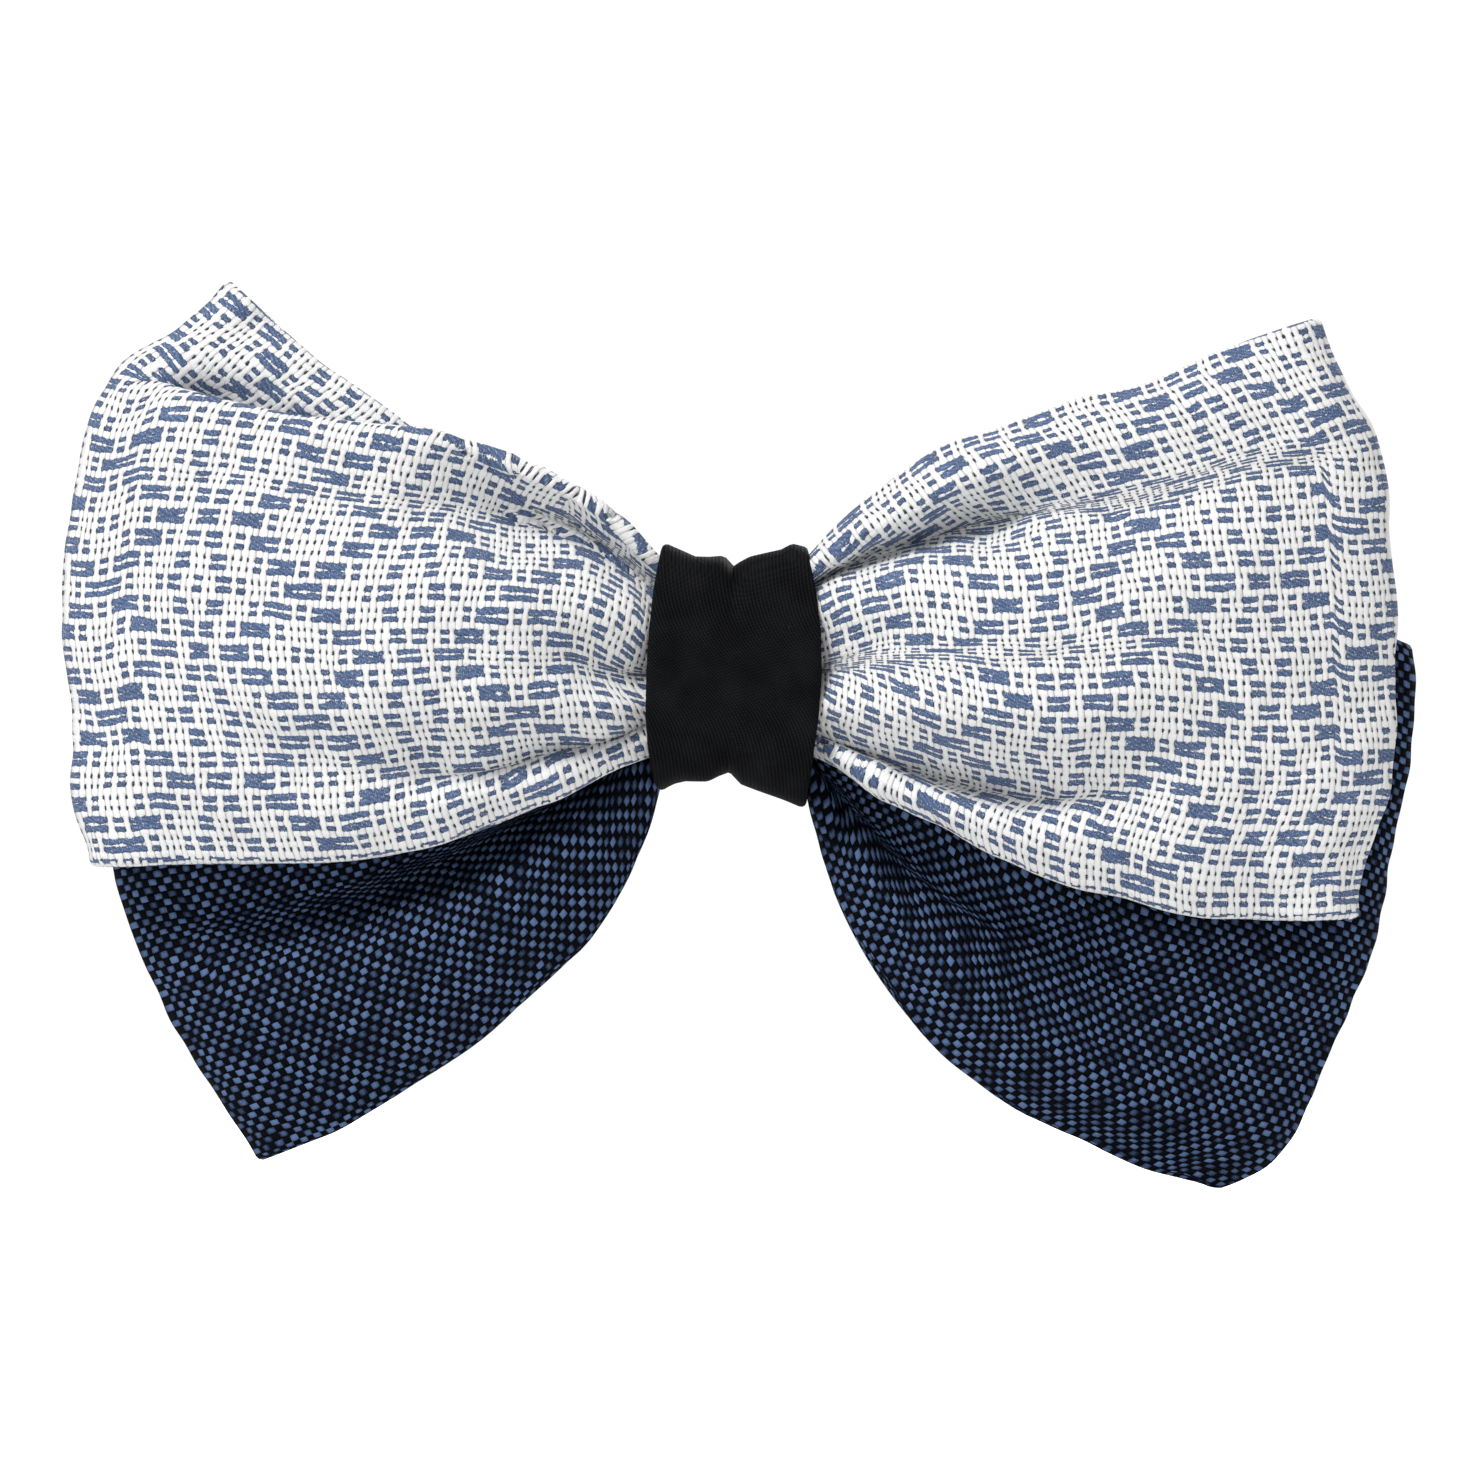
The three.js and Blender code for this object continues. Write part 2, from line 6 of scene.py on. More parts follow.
import bpy
import numpy as np
from mathutils import Vector
from mathutils.bvhtree import BVHTree
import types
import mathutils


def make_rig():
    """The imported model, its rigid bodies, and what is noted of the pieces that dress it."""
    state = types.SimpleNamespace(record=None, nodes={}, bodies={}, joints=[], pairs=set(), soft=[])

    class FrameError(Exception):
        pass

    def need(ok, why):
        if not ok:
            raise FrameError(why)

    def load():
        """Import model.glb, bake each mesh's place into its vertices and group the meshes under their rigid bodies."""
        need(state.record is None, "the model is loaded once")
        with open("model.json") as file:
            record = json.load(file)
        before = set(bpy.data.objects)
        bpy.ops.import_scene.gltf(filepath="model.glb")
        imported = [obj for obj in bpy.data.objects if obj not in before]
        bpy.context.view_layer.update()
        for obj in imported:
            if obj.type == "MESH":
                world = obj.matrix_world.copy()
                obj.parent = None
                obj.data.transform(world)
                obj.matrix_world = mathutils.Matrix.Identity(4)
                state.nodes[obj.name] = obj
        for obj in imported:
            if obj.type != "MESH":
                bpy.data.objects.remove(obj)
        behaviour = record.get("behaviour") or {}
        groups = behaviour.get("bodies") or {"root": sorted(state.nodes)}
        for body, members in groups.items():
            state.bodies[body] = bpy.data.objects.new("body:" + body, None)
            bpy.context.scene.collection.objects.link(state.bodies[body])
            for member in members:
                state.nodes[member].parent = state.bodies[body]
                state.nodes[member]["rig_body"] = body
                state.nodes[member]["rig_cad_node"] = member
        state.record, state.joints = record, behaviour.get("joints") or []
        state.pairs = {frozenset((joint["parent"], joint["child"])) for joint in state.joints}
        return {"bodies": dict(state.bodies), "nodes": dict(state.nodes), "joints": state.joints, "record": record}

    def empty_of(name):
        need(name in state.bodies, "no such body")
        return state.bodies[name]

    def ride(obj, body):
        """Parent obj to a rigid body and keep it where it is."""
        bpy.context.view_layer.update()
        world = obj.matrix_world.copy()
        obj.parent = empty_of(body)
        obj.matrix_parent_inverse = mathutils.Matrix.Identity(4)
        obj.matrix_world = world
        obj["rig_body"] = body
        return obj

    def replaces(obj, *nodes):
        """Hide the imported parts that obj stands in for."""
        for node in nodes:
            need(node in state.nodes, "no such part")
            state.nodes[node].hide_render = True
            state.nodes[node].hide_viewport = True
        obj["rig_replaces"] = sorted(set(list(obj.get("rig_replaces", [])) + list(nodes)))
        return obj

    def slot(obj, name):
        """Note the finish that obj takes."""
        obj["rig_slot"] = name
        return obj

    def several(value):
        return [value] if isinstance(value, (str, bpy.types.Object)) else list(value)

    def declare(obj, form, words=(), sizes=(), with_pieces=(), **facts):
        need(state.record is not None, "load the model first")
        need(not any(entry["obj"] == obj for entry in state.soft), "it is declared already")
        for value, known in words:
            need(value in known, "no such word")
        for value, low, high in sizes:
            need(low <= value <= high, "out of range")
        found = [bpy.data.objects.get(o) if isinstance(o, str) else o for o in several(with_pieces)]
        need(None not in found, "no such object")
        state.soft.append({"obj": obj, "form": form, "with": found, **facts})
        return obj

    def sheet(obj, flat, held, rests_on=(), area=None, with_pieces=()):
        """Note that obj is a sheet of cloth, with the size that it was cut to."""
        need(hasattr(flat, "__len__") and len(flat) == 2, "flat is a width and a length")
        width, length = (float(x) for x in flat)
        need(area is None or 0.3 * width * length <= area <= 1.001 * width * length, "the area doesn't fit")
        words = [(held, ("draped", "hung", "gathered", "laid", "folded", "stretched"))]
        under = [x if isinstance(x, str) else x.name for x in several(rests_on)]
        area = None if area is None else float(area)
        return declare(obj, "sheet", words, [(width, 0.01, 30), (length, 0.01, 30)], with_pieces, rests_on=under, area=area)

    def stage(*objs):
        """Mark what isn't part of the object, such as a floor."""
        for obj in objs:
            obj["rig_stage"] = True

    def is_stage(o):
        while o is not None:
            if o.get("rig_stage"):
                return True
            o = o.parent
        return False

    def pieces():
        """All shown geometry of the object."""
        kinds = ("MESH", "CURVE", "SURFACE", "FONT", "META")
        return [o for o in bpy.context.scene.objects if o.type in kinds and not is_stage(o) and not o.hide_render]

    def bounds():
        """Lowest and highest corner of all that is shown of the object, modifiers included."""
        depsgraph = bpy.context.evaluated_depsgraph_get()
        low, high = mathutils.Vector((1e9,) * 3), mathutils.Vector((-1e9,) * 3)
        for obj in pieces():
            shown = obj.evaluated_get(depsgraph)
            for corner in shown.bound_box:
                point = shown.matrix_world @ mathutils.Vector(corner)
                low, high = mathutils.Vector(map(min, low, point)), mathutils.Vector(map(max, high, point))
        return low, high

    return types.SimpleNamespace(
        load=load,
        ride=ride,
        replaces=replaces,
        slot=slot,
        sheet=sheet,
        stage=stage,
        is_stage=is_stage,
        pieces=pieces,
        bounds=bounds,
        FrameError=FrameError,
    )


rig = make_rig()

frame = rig.load()
cad_low, cad_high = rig.bounds()

MM = 0.001
UV_UNIT = 100 * MM  # one UV unit is this much cloth

# ---- Cloth lines -------------------------------------------------------------------------------
# A wing's front leaf is drawn by lines that follow the cloth's weft from the outer fold to the
# mouth beside the knot. Each is (mm of cloth above the lower edge, [(x, z, depth), ...]), where
# depth is how far the cloth's middle lies in front of the clip's pad. The words say what each is.

FRONT_LEFT = {
    "lower edge": (0, [(-72.4, -21.6, 15), (-61, -21.1, 16.5), (-52, -21, 17.3), (-42, -20.5, 17.8),
                       (-32, -18.3, 17.8), (-21.5, -14.1, 17), (-14.5, -10.7, 16), (-9, -8, 14.2)]),
    "lower ridge": (6.3, [(-73.6, -15, 15.3), (-62, -15.2, 18.6), (-52, -15.4, 20), (-42, -15.2, 20.4),
                          (-31, -14, 20), (-21, -11.2, 18.4), (-14, -8.8, 16.8), (-9, -6.6, 15.6)]),
    "lower pleat": (12.8, [(-73.6, -8.3, 15.4), (-62, -8.8, 20.4), (-52, -9.4, 21.6), (-42, -10, 21),
                            (-31, -10.8, 18.6), (-21, -9, 15.8), (-14.5, -7.2, 14.6), (-9, -5.5, 14.2)]),
    "lower puff": (20.8, [(-74.4, -0.3, 15.5), (-62, -1.6, 21.4), (-52, -3, 24), (-42, -4, 25.2),
                          (-31, -4.6, 24.4), (-21, -4.4, 22.2), (-14, -3.8, 19.8), (-9, -3.2, 17.4)]),
    "middle crease": (28.8, [(-75, 7.2, 15.5), (-62, 5.6, 21.8), (-52, 4, 25), (-42, 3, 26.2),
                             (-31, 2.2, 25.6), (-21, 1.2, 22.8), (-14.5, 0.6, 18.4), (-9, 0, 14.4)]),
    "upper puff": (36.8, [(-74.6, 15.7, 15.5), (-62, 14.2, 21.6), (-52, 12.6, 24.4), (-42, 11.4, 25.6),
                          (-31, 10.4, 25.4), (-21, 9.2, 23.6), (-14, 7.6, 21), (-9, 6, 17.7)]),
    "upper crease": (44.8, [(-73.2, 23.6, 15.5), (-62, 22.8, 20.8), (-52, 21, 22.4), (-42, 19.6, 22),
                            (-31, 18.2, 17.6), (-21, 16.8, 13.4), (-14, 14.4, 12.8), (-9, 10.9, 13)]),
    "shoulder": (52.8, [(-70.6, 31, 15.5), (-64, 31.8, 18.6), (-54.5, 29.4, 20.4), (-44, 27.6, 21),
                        (-32, 26.2, 21), (-22, 22.6, 20.6), (-13.5, 17.6, 19.4), (-9, 12.8, 17.6)]),
    "tuck": (58.3, [(-68, 34.9, 15.4), (-61, 31.2, 14.8), (-53, 26.6, 13.8), (-43, 24, 14),
                    (-33, 22.6, 14.6), (-22, 19.4, 15), (-14, 14.8, 14.6), (-9, 10.6, 14.4)]),
    "peak": (65, [(-62.4, 38.2, 15.2), (-56.5, 36, 17.4), (-50, 31.4, 17.4), (-42.5, 26.8, 16.2),
                  (-33, 21.4, 15.2), (-22, 16.8, 14.8), (-14, 13, 14.6), (-9, 10, 14.5)]),
    "upper edge": (72.8, [(-56.2, 44.3, 15), (-51.9, 40, 15.5), (-46.5, 35, 15.6), (-40, 30.2, 15.2),
                          (-32, 24.4, 14.8), (-22, 18, 14.5), (-14, 13.4, 14.4), (-9, 9.8, 14.4)]),
}
FRONT_RIGHT = {
    "lower edge": (0, [(70.2, -27.2, 15), (59.9, -27.4, 16.4), (50, -26.3, 17.2), (41.5, -24.2, 17.6),
                       (34, -21.8, 17.4), (24, -16.7, 17), (15.4, -11.9, 16), (9, -8.2, 14.2)]),
    "lower ridge": (8.4, [(71, -20, 15.4), (60, -20.4, 19.6), (50, -20, 20.6), (42, -18.6, 20.6),
                          (34, -17.4, 20), (24, -14.3, 18.6), (15, -10.6, 17), (9, -7.2, 15.8)]),
    "lower crease": (16.4, [(73.7, -12, 15.5), (60, -12.6, 21), (50, -12.8, 22), (42, -13.2, 19.6),
                            (34, -13.4, 16.6), (24, -11.8, 14.4), (15, -9, 14.2), (9, -6.2, 14.4)]),
    "lower puff": (25.4, [(74.2, -3, 15.5), (60, -4, 22), (48, -5, 25), (38, -5.6, 26),
                          (28, -5.2, 25.2), (20, -4.3, 23), (14, -3.8, 20.4), (9, -3.4, 17.6)]),
    "middle crease": (34.4, [(74.1, 6.5, 15.5), (60, 5, 22.2), (48, 3.5, 25.4), (38, 2.6, 26.4),
                             (28, 2.2, 25.2), (20, 1.6, 22.6), (14, 1.2, 18.4), (9, 0.3, 14.4)]),
    "upper puff": (44.4, [(73.4, 16.5, 15.5), (60, 15, 21.6), (48, 13.2, 24.2), (38, 12.3, 25),
                          (29, 11.8, 24.6), (22, 10.8, 23.2), (15, 9.6, 20.8), (9, 7.6, 17.6)]),
    "upper crease": (53.4, [(72.7, 25.2, 15.5), (60, 24, 19.6), (48, 20.4, 20.6), (38, 18.4, 18.4),
                            (29.2, 17.4, 15.4), (22, 15, 13.2), (15.4, 12.8, 12.8), (9, 10, 13)]),
    "shoulder": (62.4, [(68.4, 32.4, 15.4), (60, 32.6, 18.4), (50, 29.6, 20), (40, 26.8, 20.6),
                        (30, 23.6, 21.4), (21, 19, 21), (14.4, 15.6, 19.4), (9, 11.9, 17.6)]),
    "upper edge": (70.4, [(65.6, 40.2, 15), (55, 36.2, 15.8), (46.1, 32.3, 16.4), (37.4, 30.3, 16.8),
                          (29, 27.1, 16.8), (20.4, 23.4, 16.4), (14.2, 18.2, 15.8), (8.8, 12.6, 14.8)]),
}
BACK_LEFT = {
    "lower edge": (0, [(-53.6, -54.9, 7.4), (-45.1, -51.4, 8.8), (-38.5, -47.5, 9.4), (-31, -42.4, 9.6),
                       (-24, -36.8, 9.6), (-17.3, -30.2, 9.4), (-11.8, -22, 9), (-8.8, -11.4, 8.2)]),
    "lower puff": (10, [(-58.8, -46.4, 7.6), (-49, -43, 11.2), (-42, -40, 12.6), (-34, -36, 13.2),
                        (-26, -30.3, 13), (-18.5, -23.4, 12.2), (-12.5, -16.4, 11), (-8.8, -10.4, 9.6)]),
    "ridge": (18.5, [(-63.1, -39, 7.7), (-52.5, -34.8, 11.6), (-44, -31.8, 13.2), (-35.5, -28.2, 13.8),
                     (-27, -23.6, 13.6), (-19, -18, 12.6), (-13, -12.4, 11.2), (-8.8, -8.8, 9.8)]),
    "crease": (27, [(-67.4, -30, 7.8), (-55, -27.6, 8.8), (-45, -25, 8.2), (-36, -21.8, 7.8),
                    (-28, -18, 7.8), (-19.5, -13.4, 7.8), (-13.5, -9.8, 7.8), (-8.8, -7.2, 8)]),
    "covered ridge": (35, [(-69.6, -22.5, 7.8), (-56, -19.4, 11.8), (-45, -16.6, 12), (-36, -13.6, 12),
                           (-27, -10.8, 11.8), (-19, -8, 11), (-13, -5.4, 10), (-8.8, -4.6, 9.4)]),
    "covered middle": (45, [(-70.4, -13, 7.8), (-57, -7, 10.6), (-46, -3, 11), (-36, -1.5, 11),
                            (-27, -0.5, 10.8), (-19, -0.5, 10), (-13, -1, 9.2), (-8.8, -1, 8.4)]),
    "covered top": (56, [(-70.8, -2, 7.8), (-58, 3, 10.4), (-46, 6, 10.8), (-36, 7.5, 10.8),
                         (-27, 8, 10.6), (-19, 6.5, 10.2), (-13, 5, 9.8), (-8.8, 3, 9.4)]),
    "upper edge": (66.9, [(-71.5, 9, 7.6), (-58, 12, 9), (-46, 14, 9.6), (-36, 15, 9.8),
                          (-27, 14.4, 9.6), (-19, 12, 9.2), (-13, 9, 8.8), (-8.8, 6, 8.4)]),
}
BACK_RIGHT = {
    "lower edge": (0, [(55, -57.7, 7.4), (47.9, -56, 8.8), (39.2, -52.1, 9.4), (31.4, -48.5, 9.6),
                       (24.7, -43.4, 9.6), (17.6, -35, 9.4), (11.8, -24, 9), (8.7, -11.8, 8.2)]),
    "lower puff": (9.6, [(62.6, -52.6, 7.6), (53.5, -49.4, 11.4), (46, -47, 12.8), (38, -42.8, 13.4),
                         (29.5, -37, 13.4), (20.5, -28, 12.4), (12.9, -19, 11), (8.7, -11, 9.6)]),
    "lower crease": (17.4, [(66.2, -45.2, 7.7), (56, -41, 11.6), (48.5, -38.8, 11), (41, -35.2, 8.6),
                            (32.5, -30.4, 7.8), (22.5, -23.6, 7.6), (14, -15.6, 7.6), (8.8, -9.8, 8)]),
    "ridge": (25.4, [(70, -37, 7.8), (58, -32, 11.8), (49, -29.4, 13), (40, -25.8, 13.4),
                     (30, -20.8, 13.2), (20.5, -15, 12.2), (13.2, -9.6, 10.6), (8.8, -7.8, 9.6)]),
    "covered ridge": (34.4, [(72.7, -28.5, 7.8), (60, -22, 10.8), (50, -18, 11.2), (39, -14, 11),
                             (29, -11, 10.8), (20, -8.5, 10.2), (13, -6.5, 9.6), (8.8, -4.8, 9)]),
    "covered middle": (44.9, [(74.6, -18.5, 7.8), (61, -12, 10.6), (50, -7.5, 11), (39, -4, 11),
                              (29, -2, 10.8), (20, -1.5, 10), (13, -1.5, 9.2), (8.8, -1, 8.4)]),
    "covered top": (55.7, [(76.4, -7.5, 7.8), (62, -1.5, 10.4), (50, 3, 10.8), (39, 6, 10.8),
                           (29, 7, 10.6), (20, 6, 10.2), (13, 4.5, 9.8), (8.8, 3, 9.4)]),
    "upper edge": (66.4, [(76.5, 3.4, 7.6), (62, 9, 9), (50, 12.5, 9.6), (39, 14.5, 9.8),
                          (29, 14.5, 9.6), (20, 12, 9.2), (13, 9, 8.8), (8.8, 6, 8.4)]),
}

# how much of the spare cloth each crease takes, by the outer fold and by the mouth
SWALLOWED = {
    "tuck": (6, 3), "upper crease": (1.6, 2), "middle crease": (0, 1.4), "lower crease": (0.1, 0.8),
    "lower pleat": (0.2, 3.6), "crease": (1, 2), "covered middle": (0.5, 1),
}
CREASE_WIDTH = 1.5  # mm of cloth to each side of a crease that share in what it swallows
EASE = 0.95  # how much cloth lies on each mm of path outside the creases, where it is pulled tight
LEAF = 1.7  # a leaf is the flattened tube with its interlining: this thick
FOLD_REACH = 2.2  # the outer fold is about a half round of this radius
# mm of cloth from the knot's middle to the outer fold of the left (-1) and right wing: low down, high up
REACHES = {-1: (76.2, 76.3), 1: (72.4, 76)}
FLANK = 0.72  # steep flanks of a puff are pulled, so their depth counts this much of the cloth
REAR_PLEATS = 3  # soft pleats up a wing's rear leaf
FOLD_BLEND = 24  # steps over which the cloth passes from the front's creases to the smooth rear
NECK_SQUEEZE = 0.3  # share of its height and depth that a neck loses under its gathering thread
MOUTH = 9  # mm from the knot's middle to where a wing starts
LINING = 0.35  # thickness of the interlining
BAND_WALL = 1.2
BAND_HALF = 8.4  # half the band's width at its edges
BAND_FRONT, BAND_REAR = -20, -1.9
CLIP_BACK = -2.3  # depth inside the band at which the clip's stitches start and end
HINGE_X, HINGE_Y = 7.5, 1.9  # each hinge's axis
STEPS_ACROSS = 96
STEPS_FRONT = 96
STEPS_REAR = 84
STEPS_NECK = 12
RIM_STEPS = 4
THREAD_SIDES = 8


def spline(points, knots, where):
    """A smooth curve through points at knots, read at where. Points may be arrays of any shape."""
    points, knots, where = (np.asarray(a, float) for a in (points, knots, where))
    chords = np.diff(points, axis=0) / np.diff(knots).reshape(-1, *[1] * (points.ndim - 1))
    gaps = np.diff(knots)
    slopes = np.empty_like(points)
    slopes[0], slopes[-1] = chords[0], chords[-1]
    for i in range(1, len(knots) - 1):
        a, b = gaps[i - 1], gaps[i]
        slopes[i] = (b * chords[i - 1] + a * chords[i]) / (a + b)
    i = np.clip(np.searchsorted(knots, where, side="right") - 1, 0, len(knots) - 2)
    shape = (-1, *[1] * (points.ndim - 1))
    h = gaps[i].reshape(shape)
    t = (where - knots[i]).reshape(shape) / h
    return (
        points[i] * (2 * t**3 - 3 * t**2 + 1)
        + slopes[i] * h * (t**3 - 2 * t**2 + t)
        + points[i + 1] * (3 * t**2 - 2 * t**3)
        + slopes[i + 1] * h * (t**3 - t**2)
    )


def lengths(points):
    """The distance along a line of points, starting at 0."""
    steps = np.linalg.norm(np.diff(points, axis=0), axis=-1)
    return np.concatenate([np.zeros((1, *steps.shape[1:])), np.cumsum(steps, axis=0)])


def even(line, count):
    """A smooth line through the points, as count points evenly apart."""
    line = np.asarray(line, float)
    fine = spline(line, lengths(line), np.linspace(0, lengths(line)[-1], 400))
    along = lengths(fine)
    where = np.linspace(0, along[-1], count)
    return np.stack([np.interp(where, along, fine[:, k]) for k in range(3)], axis=1)


def smooth_noise(seed, along, across, cell):
    """Soft random hills over a grid of cloth coordinates, about -1 to 1, with hills a cell wide."""
    rng = np.random.default_rng(seed)
    total = np.zeros_like(along)
    waves = 14
    for angle, phase, scale in zip(
        rng.uniform(0, 2 * np.pi, waves), rng.uniform(0, 2 * np.pi, waves), rng.uniform(0.7, 1.6, waves)
    ):
        total += np.sin((along * np.cos(angle) + across * np.sin(angle)) * 2 * np.pi * scale / cell + phase)
    return total / math.sqrt(waves)


def evened(values, reach=14):
    """Values on a grid, averaged over this many rows each way along the cloth."""
    padded = np.concatenate([values[:1]] * reach + [values] + [values[-1:]] * reach)
    total = np.cumsum(np.concatenate([padded[:1] * 0, padded]), axis=0)
    width = 2 * reach + 1
    return (total[width:] - total[:-width]) / width


def wing(lines, rear_depth, rear_puff, seed):
    """One wing's loop, from the front mouth over the outer fold to the rear mouth.

    Returns the middle surface, as points [step along, step across], and the cloth coordinates of
    each: mm from the knot's middle along the front, and mm above the lower edge."""
    heights = np.array([height for height, _ in lines.values()], float)
    total = heights[-1]
    low, high = (np.array(lines[edge][1], float) for edge in ("lower edge", "upper edge"))
    side = np.sign(low[0, 0])
    front, rear = [], []
    for height, points in lines.values():
        points = np.array([(x, -depth, z) for x, z, depth in points], float)
        edge = points[0]
        outward = edge - points[1]
        outward[1] = 0
        outward /= np.linalg.norm(outward)
        edge = edge - outward * LEAF / 2
        turn = FOLD_REACH * outward
        before = edge - turn - np.array([0, FOLD_REACH * 0.8, 0])
        after = edge - turn + np.array([0, FOLD_REACH, 0])
        front.append(even([*points[:0:-1], before, edge], STEPS_FRONT))
        share = height / total
        back = [edge, after]
        for i in range(1, len(points)):
            x, z = (low[i] + (high[i] - low[i]) * share)[:2]
            settle = i / (len(points) - 1)
            pleat = rear_puff * math.cos(2 * math.pi * REAR_PLEATS * share + 0.6) * settle
            swell = rear_puff * 1.2 * math.sin(math.pi * settle) * math.sin(math.pi * share)
            back.append(np.array([x, -rear_depth + swell + pleat * 0.5, z]))
        rear.append(even(back, STEPS_REAR))
    across = np.linspace(LEAF / 2, total - LEAF / 2, STEPS_ACROSS)
    sheets = [spline(np.array(rows), heights, across).transpose(1, 0, 2) for rows in (front, rear)]
    surface = np.concatenate([sheets[0], sheets[1][1:]])
    along = lengths(surface)
    to_fold = np.interp(across, (0, total / 2), REACHES[side])
    cloth_x = side * (to_fold - along[STEPS_FRONT - 1] + along)
    # creases swallow the cloth that the gathered section has no room for, and round a ridge the
    # outer side shows more of it than the middle does
    outer_side = surface + side * normals_of(surface) * LEAF / 2
    steps, middle_steps = (
        np.linalg.norm(np.diff(layer, axis=1) * (1, FLANK, 1), axis=2) for layer in (outer_side, surface)
    )
    steps = middle_steps * evened(np.clip(steps / middle_steps, 0.6, 3))
    middles = (across[1:] + across[:-1]) / 2
    nearness = np.concatenate([np.linspace(1, 0, STEPS_FRONT), np.linspace(0, 1, STEPS_REAR)[1:]])
    swallow = np.zeros_like(steps)
    for name, (height, _) in lines.items():
        if name in SWALLOWED:
            by_fold, by_mouth = SWALLOWED[name]
            share = by_fold + (by_mouth - by_fold) * nearness**2
            swallow += share[:, None] * np.exp(-(((middles - height) / CREASE_WIDTH) ** 2))
    past_fold = np.arange(len(surface)) - STEPS_FRONT
    smooth = np.clip((past_fold + FOLD_BLEND // 2) / FOLD_BLEND, 0, 1)[:, None]
    swallow = swallow * (1 - smooth) + smooth
    spare = total - LEAF - EASE * steps.sum(1)
    gain = np.maximum(spare, 0) / (steps * swallow).sum(1)
    density = steps * (EASE + gain[:, None] * swallow)
    density *= ((total - LEAF) / density.sum(1))[:, None]
    cloth_z = LEAF / 2 + np.concatenate([np.zeros((len(surface), 1)), np.cumsum(density, axis=1)], axis=1)
    hills = smooth_noise(seed, cloth_x, cloth_z, 17) * 0.28
    hills += smooth_noise(seed + 1, cloth_x, cloth_z, 7) * 0.08
    return surface, cloth_x, cloth_z, hills


def bow_grid(left, right, rear_depth, rear_puff, seed):
    """The whole strip: left rear mouth, left wing, through the neck, right wing, right rear mouth."""
    ls, lx, lz, lh = (grid[::-1] for grid in wing(left, rear_depth, rear_puff, seed))
    rs, rx, rz, rh = wing(right, rear_depth, rear_puff, seed + 2)
    t = np.linspace(0, 1, STEPS_NECK + 2)[1:-1]
    depth = (left["lower edge"][1][-1][2] + rear_depth) / -2

    def squeezed(points, x_share):
        """The gathering thread draws the neck in towards its middle."""
        tight = np.sin(np.pi * x_share / 2)[:, None] * NECK_SQUEEZE
        points[..., 2] *= 1 - tight
        points[..., 1] = depth + (points[..., 1] - depth) * (1 - tight)
        return points

    def across_neck(a, b):
        return a[-1] + (b[0] - a[-1]) * t[:, None]

    neck = squeezed(ls[-1] + (rs[0] - ls[-1]) * t[:, None, None], 1 - abs(2 * t - 1))
    # the strip's two ends reach in behind the neck
    inward = np.linspace(0, 0.95, 6)[1:]
    narrowing = np.stack([1 - inward, np.ones(len(inward)), np.ones(len(inward))], axis=1)[:, None]
    tails = [squeezed(end * narrowing, inward) for end in (ls[0], rs[-1])]
    surface = np.concatenate([tails[0][::-1], ls, neck, rs, tails[1]])
    reach = MOUTH * inward[:, None]
    cloth_x = np.concatenate([(lx[:1] - reach)[::-1], lx, across_neck(lx, rx), rx, rx[-1:] + reach])
    same = np.ones((len(inward), 1))
    cloth_z = np.concatenate([lz[:1] * same, lz, across_neck(lz, rz), rz, rz[-1:] * same])
    flat = np.zeros((len(inward), lh.shape[1]))
    hills = np.concatenate([flat, lh, across_neck(lh, rh), rh, flat])
    return surface, cloth_x, cloth_z, hills


def normals_of(surface, closed=False):
    """Which way each point of a grid of points faces. A closed grid joins its last row to its first."""
    ring = np.concatenate([surface[-2:], surface, surface[:2]]) if closed else surface
    along = np.gradient(ring, axis=0)
    across = np.gradient(ring, axis=1)
    n = np.cross(along, across)
    n /= np.maximum(np.linalg.norm(n, axis=2, keepdims=True), 1e-9)
    return n[2:-2] if closed else n


